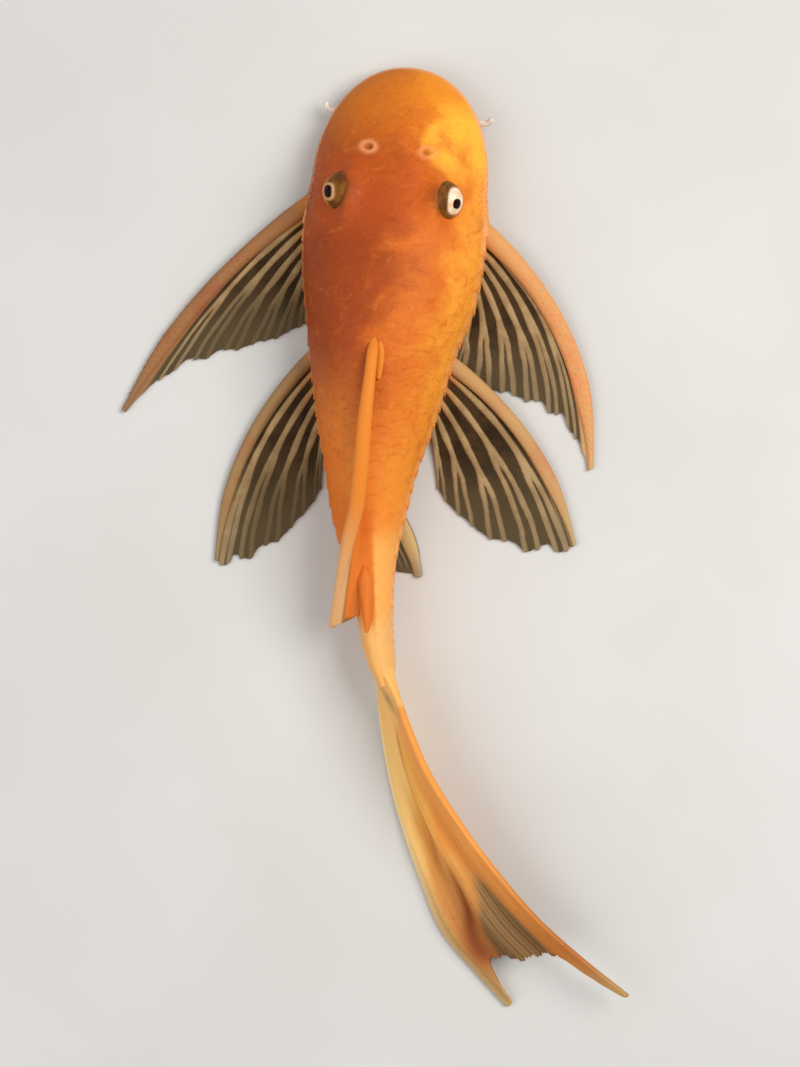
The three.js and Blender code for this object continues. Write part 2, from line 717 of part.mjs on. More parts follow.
// The anal fin: a small fan, flat on the surface.
function analFin() {
  const rayAt = (u) => {
    const t = THREE.MathUtils.clamp(u / ANAL.rays, 0, 1);
    const start = place(lerp(ANAL.fromS, ANAL.toS, t), 0, 0);
    const angle = radians(ANAL.angle - ANAL.sweep * t);
    const along = new THREE.Vector3(Math.sin(angle), -Math.cos(angle), 0);
    const outwards = new THREE.Vector3(Math.cos(angle), Math.sin(angle), 0);
    return { start, along, outwards, length: ANAL.length * lerp(1, ANAL.shortest, t) };
  };
  const columns = [-0.5, 0, 0.5].map((offset) => ({ u: 0, offset, ridge: offset === 0 }));
  for (let u = 0.6; u <= ANAL.rays; u += u < 1 ? 0.4 : 0.5)
    columns.push({ u, offset: 0, ridge: Math.abs(u - Math.round(u)) < 0.01 });
  const rows = [0, 0.2, 0.4, 0.6, 0.8, 1];
  const grid = (top) =>
    columns.map(({ u, offset, ridge }) =>
      rows.map((v) => {
        const ray = rayAt(u);
        const reach = ridge ? v : v * (1 - 2 * MARGIN_NOTCH);
        const ridged = ANAL.thickness * lerp(1, 0.6, v);
        const thickness = ridge ? ridged : lerp(ridged, MEMBRANE, ease(0, 0.4, v));
        const width = ANAL.spineWidth * lerp(1, 0.5, ease(0.6, 1, v));
        return ray.start
          .clone()
          .addScaledVector(ray.along, ray.length * reach)
          .addScaledVector(ray.outwards, -offset * width)
          .setZ(top ? thickness : 0);
      }),
    );
  return solidOf(slab(grid(true), grid(false)));
}

// The folded dorsal fin: a blade between its foot and its crest. A ray leaves the back at its own
// root and then lies in order below the spine, so the rays fan out only towards their tips.
function dorsalFin(bodyCutter) {
  const [crestLateral, crestZ] = ["lateral", "z"].map((key) => track(DORSAL.crest, key));
  const [footLateral, footZ] = ["lateral", "z"].map((key) => track(DORSAL.foot, key));
  const spacing = (DORSAL.toS - DORSAL.fromS) / DORSAL.rays;
  const columns = [];
  for (let u = 0; u <= DORSAL.rays; u += 0.5) columns.push({ u, ridge: Number.isInteger(u) });
  const pointAt = ({ u, ridge }, v, face) => {
    const rootS = DORSAL.fromS + u * spacing;
    const tipS = lerp(DORSAL.spineTipS, DORSAL.lastTipS, (u / DORSAL.rays) ** 1.3);
    const s = lerp(rootS, ridge ? tipS : tipS - 1, v);
    const risen = Math.max(Math.min((s - DORSAL.fromS) / spacing, DORSAL.rays), 1e-3);
    const share = 1 - Math.min(u / risen, 1);
    const [low, high] = [
      [footLateral(s), footZ(s)],
      [crestLateral(s), crestZ(s)],
    ].map((p) => new THREE.Vector2(...p));
    const up = high.clone().sub(low).normalize();
    const out = new THREE.Vector2(up.y, -up.x);
    const width = u === 0 ? DORSAL.spineWidth : ridge ? DORSAL.thickness : MEMBRANE;
    const taper = lerp(1, TIP_TAPER, ease(0.5, 1, v));
    const at = low
      .clone()
      .lerp(high, share)
      .addScaledVector(out, (face * Math.max(width * taper, MEMBRANE)) / 2);
    return place(s, at.x, at.y);
  };
  const crown = (v, face) => {
    const point = pointAt({ u: 0, ridge: true }, v, face * 0.45);
    return point.setZ(point.z + 0.5 * lerp(1, 0.5, v));
  };
  const grid = (face) => [
    Array.from({ length: DORSAL.steps + 1 }, (_, row) => crown(row / DORSAL.steps, face)),
    ...columns.map((column) =>
      Array.from({ length: DORSAL.steps + 1 }, (_, row) => pointAt(column, row / DORSAL.steps, face)),
    ),
  ];
  return largest(solidOf(slab(grid(1), grid(-1))).subtract(bodyCutter));
}

// The adipose fin: a short spine on the tail stalk with a flap of skin behind it.
function adiposeFin(bodyCutter) {
  const { fromS, toS, tipS, height, lean, thickness } = ADIPOSE;
  const steps = 6;
  const pointAt = (column, v, face) => {
    const spine = { s: lerp(fromS, tipS, v), z: height * Math.sin((Math.PI / 2) * v ** 0.8) };
    const foot = { s: lerp(fromS, toS, v), z: lerp(-1, -0.6, v) };
    const s = lerp(foot.s, spine.s, column);
    const rise = lerp(foot.z, spine.z, column);
    const width = lerp(MEMBRANE, thickness * lerp(1, 0.6, v), column ** 2);
    return place(s, lean * column * v + (face * width) / 2, section(s).top + rise);
  };
  const grid = (face) =>
    [0, 0.5, 0.85, 1].map((column) =>
      Array.from({ length: steps + 1 }, (_, row) => pointAt(column, row / steps, face)),
    );
  return largest(solidOf(slab(grid(1), grid(-1))).subtract(bodyCutter));
}

const tailLower = new THREE.CatmullRomCurve3(TAIL.lower.map((p) => new THREE.Vector3(...p)));
const tailUpper = new THREE.CatmullRomCurve3(TAIL.upper.map((p) => new THREE.Vector3(...p)));

// A point of the tail fin: w from its lower edge to its upper one, t along it, face in front or behind.
function tailPoint(w, t, thickness, face, past = 0) {
  const [low, high] = [tailLower.getPointAt(t), tailUpper.getPointAt(t)];
  const across = high.clone().sub(low).normalize();
  const along = tailLower.getTangentAt(t).lerp(tailUpper.getTangentAt(t), w).normalize();
  const out = across.clone().cross(along).normalize();
  const fold = TAIL.foldHeight * ease(0.12, 0.5, t) * Math.cos((2 * Math.PI * (w - 0.1)) / TAIL.foldPitch);
  const hidden = 1 - ease(0.8, 1, Math.abs(2 * w - 1)); // the folds die out at both edges
  const point = low
    .lerp(high, w)
    .addScaledVector(across, past)
    .addScaledVector(out, -fold * hidden + (face * thickness) / 2);
  return point.setZ(Math.max(point.z, 0));
}

// One lobe of the tail fin, between two shares of its width.
function tailLobe(fromRay, toRay) {
  const last = TAIL.rays - 1;
  const columns = [];
  for (let u = fromRay; u <= toRay; u += 0.5) columns.push({ u, past: 0 });
  const middle = columns.findIndex(({ u }) => u === last / 2);
  if (middle >= 0) columns[middle].past = fromRay === 0 ? -GAP / 2 : GAP / 2;
  if (fromRay === 0) columns.unshift({ u: 0, past: -0.55 });
  if (toRay === last) columns.push({ u: last, past: 0.55 });
  const endAt = (w) => 1 - TAIL.fork * Math.min(ease(0, 0.22, w), ease(0, 0.14, 1 - w));
  const grid = (face) =>
    columns.map(({ u, past }) =>
      Array.from({ length: TAIL.steps + 1 }, (_, row) => {
        const w = u / last;
        const ray = Number.isInteger(u);
        const edge = u === 0 || u === last;
        const v = row / TAIL.steps;
        const t = v * endAt(w) * (ray ? 1 : 1 - 0.6 * MARGIN_NOTCH);
        const outer = Math.abs(past) > GAP;
        const full = edge ? TAIL.edgeThickness : TAIL.rayThickness;
        const plain = outer || !ray ? MEMBRANE : lerp(full, 0.6, t);
        const root = TAIL.rootThickness * (outer ? 0.35 : 1);
        const thickness = lerp(root, plain, ease(0, TAIL.rootReach, t));
        return tailPoint(w, t, thickness, face, past);
      }),
    );
  return solidOf(slab(grid(1), grid(-1)));
}

function bodyParts() {
  const lean = -Math.atan2(HEAD_CUT.highS - HEAD_CUT.lowS, HEAD_CUT.highZ - HEAD_CUT.lowZ);
  const { lowS, lowZ } = HEAD_CUT;
  const finer = bodySolid({ segments: ROW_SEGMENTS.head });
  let head = finer.intersect(halfSpace(lowS - GAP / 2, lowZ, lean, -1));
  for (const side of [-1, 1]) {
    head = head.subtract(eyeball(side, GAP)).add(nostrilRim(side)).subtract(nostrilHole(side));
    for (const spine of cheekSpines(side)) head = head.add(spine);
  }
  const body = bodySolid();
  const trunk = body
    .intersect(halfSpace(lowS + GAP / 2, lowZ, lean, 1))
    .intersect(halfSpace(STALK_CUT_S - GAP / 2, 0, 0, -1));
  const stalk = body.intersect(halfSpace(STALK_CUT_S + GAP / 2, 0, 0, 1));
  return { head, trunk, stalk };
}

const fish = new THREE.Group();
const { head, trunk, stalk } = bodyParts();
const finCutter = bodySolid({ grow: 1.1 * GAP, floor: -5 });
fish.add(meshOf("head", head, COLOURS.skin));
fish.add(meshOf("trunk", trunk, COLOURS.skin));
fish.add(meshOf("tail_stalk", stalk, COLOURS.skin));
fish.add(meshOf("mouth_disc", mouthDisc(), COLOURS.lip));
fish.add(meshOf("eye_left", eyeball(-1), COLOURS.eye, 0.1));
fish.add(meshOf("eye_right", eyeball(1), COLOURS.eye, 0.1));
for (const one of BRISTLES) fish.add(meshOf(one.name, bristle(one), COLOURS.lip));
for (const fin of [PECTORAL_LEFT, PECTORAL_RIGHT, PELVIC_LEFT, PELVIC_RIGHT])
  fish.add(meshOf(fin.name, pairedFin(fin, finCutter), COLOURS.fin));
fish.add(meshOf("dorsal_fin", dorsalFin(finCutter), COLOURS.fin));
fish.add(meshOf("adipose_fin", adiposeFin(finCutter), COLOURS.fin));
fish.add(meshOf("anal_fin", analFin(), COLOURS.fin));
const middleRay = (TAIL.rays - 1) / 2;
fish.add(meshOf("tail_fin_lower_lobe", tailLobe(0, middleRay), COLOURS.fin));
fish.add(meshOf("tail_fin_upper_lobe", tailLobe(middleRay, TAIL.rays - 1), COLOURS.fin));

const bounds = new THREE.Box3().setFromObject(fish);
fish.position.set(-(bounds.min.x + bounds.max.x) / 2, -(bounds.min.y + bounds.max.y) / 2, 0);

export default fish;
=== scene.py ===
import math

import bpy
import numpy as np
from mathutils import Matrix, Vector


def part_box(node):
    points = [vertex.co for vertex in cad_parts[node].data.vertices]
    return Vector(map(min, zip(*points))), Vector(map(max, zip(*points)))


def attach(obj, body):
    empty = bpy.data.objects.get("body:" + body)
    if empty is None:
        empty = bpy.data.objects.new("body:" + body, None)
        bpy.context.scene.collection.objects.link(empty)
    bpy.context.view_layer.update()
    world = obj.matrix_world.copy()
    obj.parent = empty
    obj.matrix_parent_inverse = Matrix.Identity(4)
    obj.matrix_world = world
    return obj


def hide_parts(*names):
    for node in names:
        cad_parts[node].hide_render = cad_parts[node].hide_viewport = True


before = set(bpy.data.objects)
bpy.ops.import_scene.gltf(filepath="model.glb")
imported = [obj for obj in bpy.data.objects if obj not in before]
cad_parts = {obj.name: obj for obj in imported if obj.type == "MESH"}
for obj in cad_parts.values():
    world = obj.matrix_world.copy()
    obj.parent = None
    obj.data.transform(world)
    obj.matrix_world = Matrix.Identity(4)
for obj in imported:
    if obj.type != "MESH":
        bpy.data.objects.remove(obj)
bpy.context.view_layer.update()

# Lengths are in millimetres until a mesh is made. s runs along the body's midline from the snout,
# lateral is to the fish's right, z is above the floor, and angles are in degrees above the keel.
MM = 0.001
STANDARD_LENGTH = 92.4
STALK_END = 96.0  # where the skin of the tail stalk thins out over the tail fin
SNOUT = {"length": 18, "half_width": 13.6, "roundness": 2.1, "lip": 2.7, "power": 0.52, "chin": 1.9}
MIDLINE_POINTS = [
    (5.7, 73.05), (4.8, 64), (3.95, 56), (3.15, 48), (2.3, 38), (1.2, 30.5), (0.5, 23),
    (-0.25, 15), (-0.75, 8), (-0.85, 2), (-0.5, -4), (0, -10), (0.6, -16), (1.3, -19.6),
]
SECTIONS = {
    "s": (18, 24, 30, 36, 42, 50, 56, 62, 70, 78, 86, 92.4, 96),
    "half_width": (13.6, 14.3, 14.0, 13.3, 11.8, 10.1, 8.8, 7.15, 5.5, 3.5, 2.5, 2.0, 0.9),
    "top": (13.8, 15.3, 16.4, 17.1, 17.3, 16.2, 15.0, 13.8, 12.4, 11.5, 11.3, 11.6, 10.9),
    "keel": (3.5, 3.6, 3.7, 3.8, 3.8, 3.8, 4.0, 4.3, 4.9, 5.6, 6.2, 6.4, 6.4),
    "bottom": (1.9, 0.8, -0.6, -0.8, -0.8, -0.6, 0.6, 1.6, 1.7, 1.6, 1.5, 1.5, 4.8),
    "power": (2.0, 2.0, 2.05, 2.1, 2.1, 2.05, 2.0, 2.05, 2.2, 2.4, 2.6, 2.6, 2.6),
}
BELLY_POWER = 5
MOUTH = {"s": 12.5, "half_width": 8.2, "half_length": 7.0, "rim": 1.9, "cup": 0.8, "folds": 46,
         "knobs": 30}
BRISTLE = {"s": 7.5, "width": 1.08, "sides": 14, "steps": 24}
# Side of each bristle, and how far it reaches out and forward
BRISTLES = {"bristle_left": (-1, 1.35, 1.15), "bristle_right": (1, 1.9, 0.7)}

# Skin
HEAD_RING_STEP = 0.18
TRUNK_RING_STEP = 0.27
HEAD_END = 27.0
BACK_COLUMNS = 88  # of each side, from the middle of the back to the keel
BELLY_COLUMNS = 28
# Rows of plates run down to the lowest angle. Each plate rises to its crest, a share of its length
PLATES = {"start": 27.5, "end": 91.0, "pitch": 2.65, "rows": 5, "per_row": 26, "lowest": -35.0, "bow": 0.65,
          "scallops": 6, "scallop_depth": 0.078, "crest": 0.88}
PLATE_LIFT = {"back": 0.05, "keel": 0.36}
HEAD_EDGE = {"low_s": 20.8, "low_z": 3.0, "high_s": 34.0, "high_z": 17.0}
EYE = {"s": 20.9, "lateral": 7.8, "height": 11.9, "radius": 3.1, "opening": 2.85, "elevation": 46.0}
# Half the length and width of the cream ring and the pupil, how far ahead and up their middles are, all
# as shares of the eyeball's radius, and how light the ring is: brown at 0 and cream at 1
# The left ring's low light is painted shade: that eye faces away from the light
IRIS = {
    1: {"ring": (0.64, 0.46), "pupil": (0.24, 0.24), "ring_at": (0.0, -0.02), "pupil_at": (-0.14, -0.06),
        "light": 1.0},
    -1: {"ring": (0.43, 0.4), "pupil": (0.3, 0.27), "ring_at": (-0.11, 0.05), "pupil_at": (-0.11, 0.03),
         "light": 0.1},
}
BROW = {"lift": 2.1, "lateral": 6.6, "along": 3.4, "across": 1.6}
CHEEK_DIP = {"depth": 0.5, "lateral": 10.3, "reach": 2.6}
# Small teeth of the skin: back and flank are their lengths there, and a row of hooks is an angle
THORN_SIDES = 4
TEETH = {"back": 0.1, "flank": 0.62, "per_plate": 7, "width": 0.2}
CHEEK_HOOKS = {"rows": (-6, 2, 10, 18), "per_row": 15, "from_s": 12.5, "pitch": 0.7, "length": 0.5,
               "width": 0.24}
FIN_TEETH = {"rows": 4, "per_row": 26, "length": 0.5, "width": 0.2}
NOSTRIL = {"s": 13.7, "lateral": 4.6, "across": 1.5, "along": 1.0, "lift": 0.16, "depth": 0.3, "hole": 0.42}
# The dark patch of skin behind each eye: its middle, and its reach in millimetres and in degrees
EYE_PATCH = {"s": 23.4, "degrees": 19, "along": 1.3, "across": 6}
CHEEK_EDGE = {"s": 24.6, "depth": 0.16}
GILL = {"s": 21.5, "lateral": 9.5, "depth": 0.9}
VENT = {"s": 60.4, "radius": 0.6, "lift": 0.35}
# Washes of colour over the skin: strength, colour, where along the body each one starts and ends as
# shares of its length, and from where to where across it, from -1 on the left to 1 on the right
# Some are partly painted light and shade: the bright yellow washes on the right of the head and of the stalk
# are partly painted light, and the dark red one on the left of the nape and back is partly painted shade
BODY_WASHES = (
    (0.8, (150, 58, 16), (0.1, 0.26), (0.62, 0.42), (0.3, -0.3)),
    (0.45, (196, 84, 22), (0.13, 0.2), (0.32, 0.24), (0.75, 0.25)),
    (0.75, (214, 120, 28), (-1, -0.5), (0.17, 0.04), (0.4, -0.3)),
    (0.75, (242, 148, 30), (-1, -0.5), (0.13, 0.03), (-0.5, 0.6)),
    (0.85, (254, 186, 54), (0.04, 0.09), (0.2, 0.15), (0.35, 0.75)),
    (0.5, (140, 80, 32), (0.14, 0.2), (0.3, 0.22), (-0.75, -1.05)),
    (0.8, (236, 142, 46), (0.48, 0.7), (2.0, 1.5), (-9, -8)),
    (0.7, (220, 108, 32), (0.48, 0.7), (2.0, 1.5), (-0.3, -0.75)),
    (0.9, (216, 112, 32), (0.7, 0.78), (0.95, 0.9), (0.4, 0.15)),
    (0.92, (244, 172, 84), (0.76, 0.82), (2.0, 1.5), (0.15, 0.4)),
    (0.92, (236, 178, 104), (0.9, 0.95), (2.0, 1.5), (-9, -8)),
)

# Paired fins
SPINE_INNER = 0.62  # share of the first ray space over which the spine's rear edge joins the membrane
SPINE_ROUNDNESS = 1.9
MEMBRANE = 0.28
# Sizes of a fin, where it states none of its own. Its spine's colour is a linear one, as a shader's.
# Round fade, a share of their length, the rays turn dark, as much as fading says
FIN_BASE = {
    "split": 0.52, "ray_width": 1.1, "branch_width": 0.92, "fade": 0.8, "spine_thickness": 1.9,
    "ray_thickness": 0.85, "spine_colour": (0.70, 0.335, 0.118), "side": 1, "fading": 0.35,
}
FINS = {
    "pectoral_fin_right": {
        "rays": 6, "root": (22.4, 32.9), "inset": (3.4, 1.4), "length": 43.6, "shortest": 0.33,
        "length_power": 0.7, "angle": 26.3, "sweep": 37, "sweep_power": 2.9, "bow": 0.124,
        "spine_width": 2.7, "heights": (2.1, 1.3),
    },
    # The left pectoral fin's darker spine and stronger fade of its rays are painted shade, on the side away
    # from the light
    "pectoral_fin_left": {
        "rays": 6, "root": (21.6, 31.9), "inset": (1.2, 1.4), "length": 45.0, "shortest": 0.2,
        "length_power": 0.7, "angle": 43.2, "sweep": 31, "sweep_power": 2.2, "bow": 0.062,
        "spine_width": 2.2, "heights": (2.1, 1.3), "side": -1, "fade": 0.5,
        "spine_colour": (0.34, 0.155, 0.06), "fading": 1,
    },
    "pelvic_fin_right": {
        "rays": 5, "root": (43.7, 53.8), "inset": (2.9, 1.2), "length": 36.7, "shortest": 0.31,
        "length_power": 1.63, "angle": 35.7, "sweep": 27.7, "sweep_power": 1.54, "bow": 0.095,
        "spine_width": 2.1, "spine_thickness": 1.6, "heights": (1.9, 0.7),
        "spine_colour": (0.54, 0.31, 0.125),
    },
    # The left pelvic fin's darker spine and stronger fade of its rays are painted shade, on the side away
    # from the light
    "pelvic_fin_left": {
        "rays": 5, "root": (44.5, 55.2), "inset": (1.6, 1.2), "length": 37.2, "shortest": 0.31,
        "length_power": 1.63, "angle": 26.8, "sweep": 19.8, "sweep_power": 1.9, "bow": 0.1,
        "spine_width": 1.7, "spine_thickness": 1.6, "heights": (1.9, 0.7), "side": -1, "fade": 0.5,
        "spine_colour": (0.34, 0.20, 0.083), "fading": 1,
    },
}
ANAL = {"root": (63.6, 67.9), "rays": 4, "length": 17.4, "shortest": 0.64, "angle": 26, "sweep": 7,
        "bow": 0.9, "spine": 0.4, "spine_width": 1.1, "web": 0.25, "thickness": 0.85}

# The folded dorsal fin, between its crest and its foot
DORSAL = {"rays": 7, "from_s": 42.4, "to_s": 59.9, "spine_tip": 86.1, "last_tip": 84.6, "spine_width": 2.1,
          "spine_sides": 24, "catch_steps": 30, "catch_width": 1.3, "catch_z": 16.85, "web": 0.6,
          "ray": 0.06}
DORSAL_CREST = {
    "s": (42.4, 46.4, 53.4, 60.4, 67.4, 74.9, 81.4, 87.4),
    "lateral": (0, 0, -0.15, -0.2, -0.7, -3.0, -5.1, -7.0),
    "z": (17.0, 18.4, 18.7, 18.0, 16.6, 13.8, 10.8, 8.4),
}
DORSAL_FOOT = {
    "s": (42.4, 50.4, 59.9, 62.4, 67.4, 74.4, 80.4, 87.4),
    "lateral": (0, 0, 0, -0.1, -0.4, -0.9, -1.4, -2.3),
    "z": (15.6, 15.2, 13.3, 13.6, 12.9, 11.6, 10.8, 9.9),
}
ADIPOSE = {"from_s": 76.9, "to_s": 84.6, "tip_s": 87.4, "height": 1.5, "lean": -0.4, "width": 2.6}

# The tail fin, between its lower edge on the floor and its upper edge
TAIL_LOWER = [
    (1.25, -19.9, 2.4), (0.85, -25, 1.6), (1.45, -31.5, 0.9), (2.9, -39.3, 0.65), (5.1, -47, 0.55),
    (7.75, -54.5, 0.5), (10.7, -61.5, 0.5), (16.8, -68.8, 0.45), (20.9, -73.2, 0.4),
]
TAIL_UPPER = [
    (1.6, -19.9, 10.6), (3.9, -24.5, 10.9), (5.5, -29, 11.0), (8.6, -36.3, 10.8), (14.0, -45, 10.2),
    (19.6, -52.5, 9.4), (25.2, -59, 8.5), (32.0, -65.2, 7.3), (38.9, -70.8, 6.0),
]
TAIL = {"rays": 16, "fork": 0.16, "root": 3.4, "root_reach": 0.16, "root_power": 2.6, "web": 0.34,
        "edge": 0.8, "ray": 0.24, "fold": 0.8, "fold_pitch": 0.42, "notch": 0.018, "margin": 0.35}
# Marks of the tail fin: how far across it each one lies, at stations along it
TAIL_MARKS = {
    "pale": ((0, 0.07, 0.2, 0.36, 0.46, 0.62, 0.77, 1), (1.25, 1.15, 0.42, 0.28, 0.18, 0.13, 0.09, 0.07)),
    "orange": ((0, 0.1, 0.34, 0.46, 0.62, 0.77, 1), (1.0, 0.75, 0.66, 0.58, 0.76, 0.84, 0.9)),
    # The groove and the streak are painted shadow along the folds of the fin
    "groove": ((0, 0.12, 0.34, 0.46, 0.58, 1), (0.55, 0.53, 0.4, 0.31, 0.25, 0.2)),
    "streak": ((0, 0.5, 0.62, 0.78, 1), (0.5, 0.47, 0.4, 0.22, 0.17)),
    "olive": ((0, 0.56, 0.63, 0.78, 1), (0.68, 0.68, 0.69, 0.58, 0.55)),
    "olive_width": ((0, 0.56, 0.63, 0.78, 1), (0.001, 0.01, 0.07, 0.25, 0.3)),
}

# Camera, as the photograph was taken: from above, tipped a little to the fish's right
CAMERA = {"target": (4.1, 0.46, 6.0), "distance": 500.0, "tilt": 5.0, "lens": 108.85, "sensor": 36.0}
# Lights that face the middle of the floor: place and size in metres, watts, and tint
LIGHTS = {
    "key": ((0.32, 0.12, 0.42), 0.3, 2.35, (1.0, 0.97, 0.92)),
    "fill": ((-0.35, -0.1, 0.4), 0.5, 1.3, (1.0, 0.98, 0.95)),
}
SKY = {"Color": (0.97, 0.98, 1.0, 1), "Strength": 0.38}


def ease(low, high, value):
    """0 below low, 1 above high, and smooth between them."""
    t = np.clip((value - low) / (high - low), 0, 1)
    return t * t * (3 - 2 * t)


def lerp(a, b, t):
    return a + (b - a) * t


def bell(value, width):
    return np.exp(-((value / width) ** 2))


def dome(value):
    """The height of a half circle: 1 over 0, and 0 from 1 on to either side."""
    return np.sqrt(np.clip(1 - value**2, 0, 1))


def unit(vectors):
    """Vectors along the last axis, each with a length of 1."""
    return vectors / np.maximum(np.linalg.norm(vectors, axis=-1, keepdims=True), 1e-9)


def grid(*axes):
    return np.meshgrid(*axes, indexing="ij")


def flat_grid(*axes):
    return [part.ravel() for part in grid(*axes)]


def track(stations, values):
    """A smooth function through values at stations, without overshoot between them."""
    x, y = np.asarray(stations, float), np.asarray(values, float)
    slopes = np.diff(y) / np.diff(x)
    before, after = slopes[:-1], slopes[1:]
    rising = before * after > 0
    inner = np.where(rising, 2 * before * after / np.where(rising, before + after, 1), 0)
    tangents = np.concatenate([slopes[:1], inner, slopes[-1:]])

    def at(s):
        i = np.clip(np.searchsorted(x, s) - 1, 0, len(x) - 2)
        span = x[i + 1] - x[i]
        t = np.clip((s - x[i]) / span, 0, 1)
        t2, t3 = t * t, t * t * t
        start = (2 * t3 - 3 * t2 + 1) * y[i] + (t3 - 2 * t2 + t) * span * tangents[i]
        return start + (3 * t2 - 2 * t3) * y[i + 1] + (t3 - t2) * span * tangents[i + 1]

    return at


class Curve:
    """A smooth curve through points (centripetal Catmull-Rom), measured by its length from 0 to 1."""

    PER_SPAN = 200

    def __init__(self, points):
        p = np.asarray(points, float)
        p = np.vstack([2 * p[0] - p[1], p, 2 * p[-1] - p[-2]])
        spans = []
        for a, b, c, d in zip(p, p[1:], p[2:], p[3:]):
            da, db, dc = (np.sqrt(np.linalg.norm(q)) for q in (b - a, c - b, d - c))
            start = db * ((b - a) / da - (c - a) / (da + db) + (c - b) / db)
            end = db * ((c - b) / db - (d - b) / (db + dc) + (d - c) / dc)
            t = np.linspace(0, 1, self.PER_SPAN, endpoint=False)[:, None]
            spans.append(b + start * t + (3 * (c - b) - 2 * start - end) * t**2
                         + (2 * (b - c) + start + end) * t**3)
        self.points = np.vstack([*spans, p[-2]])
        lengths = np.concatenate([[0], np.cumsum(np.linalg.norm(np.diff(self.points, axis=0), axis=1))])
        self.measure = lengths / lengths[-1]

    def _read(self, table, u):
        columns = [np.interp(u, self.measure, table[:, i]) for i in range(table.shape[1])]
        return np.stack(columns, axis=-1)

    def at(self, u):
        return self._read(self.points, u)

    def tangent(self, u):
        return unit(self._read(np.gradient(self.points, axis=0), u))


MIDLINE = Curve(MIDLINE_POINTS)
SECTION = {key: track(SECTIONS["s"], SECTIONS[key]) for key in SECTIONS if key != "s"}


def section(s):
    """The body's measures at s."""
    s = np.asarray(s, float)
    share = np.clip(s / SNOUT["length"], 0, 1)
    full = {key: SECTION[key](np.maximum(s, SNOUT["length"])) for key in SECTION}
    on_snout = s < SNOUT["length"]
    roundness = SNOUT["roundness"]
    snout = {
        "half_width": SNOUT["half_width"] * (1 - (1 - share) ** roundness) ** (1 / roundness),
        "top": lerp(SNOUT["lip"], SECTIONS["top"][0], share ** SNOUT["power"]),
        "keel": lerp(SNOUT["lip"], SECTIONS["keel"][0], share),
        "bottom": lerp(SNOUT["lip"], SNOUT["chin"], np.clip(s, 0, 1) ** SNOUT["power"]),
    }
    return {key: np.where(on_snout, snout[key], full[key]) if key in snout else full[key] for key in full}


def place(s, lateral, z):
    """The point at s along the body, lateral to its right and z above the floor."""
    s, lateral, z = np.broadcast_arrays(*(np.asarray(a, float) for a in (s, lateral, z)))
    u = np.clip(s / STANDARD_LENGTH, 0, 1)
    tangent = MIDLINE.tangent(u)
    past = s - u * STANDARD_LENGTH
    across = np.stack([-tangent[..., 1], tangent[..., 0]], axis=-1)
    xy = MIDLINE.at(u) + tangent * past[..., None] + across * lateral[..., None]
    return np.concatenate([xy, z[..., None]], axis=-1)


def outline(s, degrees):
    """Lateral and z of the plain section at an angle above the keel."""
    m = section(s)
    c, h = np.cos(np.radians(degrees)), np.sin(np.radians(degrees))
    above = np.asarray(degrees) >= 0
    squareness = 2 / np.where(above, m["power"], BELLY_POWER)
    height = np.where(above, m["top"] - m["keel"], m["keel"] - m["bottom"])
    lateral = m["half_width"] * np.maximum(c, 0) ** squareness
    return lateral, m["keel"] + np.sign(h) * height * np.abs(h) ** squareness


def brow_lift(s, lateral, degrees):
    """How far the bone round the eyes stands above the plain section."""
    along = s - EYE["s"]
    ridge = (along / BROW["along"]) ** 2 + ((lateral - BROW["lateral"]) / BROW["across"]) ** 2
    dip = (along**2 + (lateral - CHEEK_DIP["lateral"]) ** 2) / CHEEK_DIP["reach"] ** 2
    return (degrees > 0) * (BROW["lift"] * np.exp(-ridge) - CHEEK_DIP["depth"] * np.exp(-dip))


def inside_outline(s, lateral):
    """0 on the outline of the body from above, and 1 in its middle."""
    roundness = SNOUT["roundness"]
    ahead = np.clip(1 - s / SNOUT["length"], 0, 1) ** roundness
    width = np.maximum(np.where(s < SNOUT["length"], SNOUT["half_width"], section(s)["half_width"]), 0.5)
    return np.clip(1 - ahead - np.clip(np.abs(lateral) / width, 0, 1) ** roundness, 0, 1)


def frame_shift():
    """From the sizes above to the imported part, whose origin is the middle of its own box."""
    low, high = (np.array(corner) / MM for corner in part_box("mouth_disc"))
    return np.append(((low + high) / 2 - place(MOUTH["s"], 0, 0))[:2], 0)


SHIFT = frame_shift()


def to_scene(points):
    return (np.asarray(points) + SHIFT) * MM


def add_piece(name, nodes, points, faces, marks, material, uv=None):
    """A smooth mesh from points in millimetres and arrays of faces, each of one number of corners.

    It stands for the nodes, in the finish of the slot, and carries the marks that its paint reads."""
    mesh = bpy.data.meshes.new(name)
    points = to_scene(points).reshape(-1, 3)
    corners = np.concatenate([f.ravel() for f in faces]).astype(np.int32)
    counts = np.concatenate([np.full(len(f), f.shape[1]) for f in faces])
    mesh.vertices.add(len(points))
    mesh.vertices.foreach_set("co", points.ravel())
    mesh.loops.add(len(corners))
    mesh.loops.foreach_set("vertex_index", corners)
    mesh.polygons.add(len(counts))
    mesh.polygons.foreach_set("loop_start", np.concatenate([[0], np.cumsum(counts)[:-1]]).astype(np.int32))
    mesh.polygons.foreach_set("use_smooth", np.ones(len(counts), bool))
    mesh.update(calc_edges=True)
    for key, values in marks.items():
        layer = mesh.attributes.new(key, "FLOAT", "POINT")
        layer.data.foreach_set("value", np.ravel(values).astype(np.float32))
    if uv is not None:
        layer = mesh.uv_layers.new(name="OFBake")
        layer.data.foreach_set("uv", uv.reshape(-1, 2)[corners].ravel().astype(np.float32))
    mesh.validate()
    mesh.materials.append(material)
    obj = bpy.data.objects.new(name, mesh)
    bpy.context.scene.collection.objects.link(obj)
    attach(obj, "root")
    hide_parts(*nodes)


def piece_name(node):
    """The name of the piece that stands for a node: the node's last word comes first."""
    words = node.split("_")
    return "_".join([words[-1], *words[:-1]])


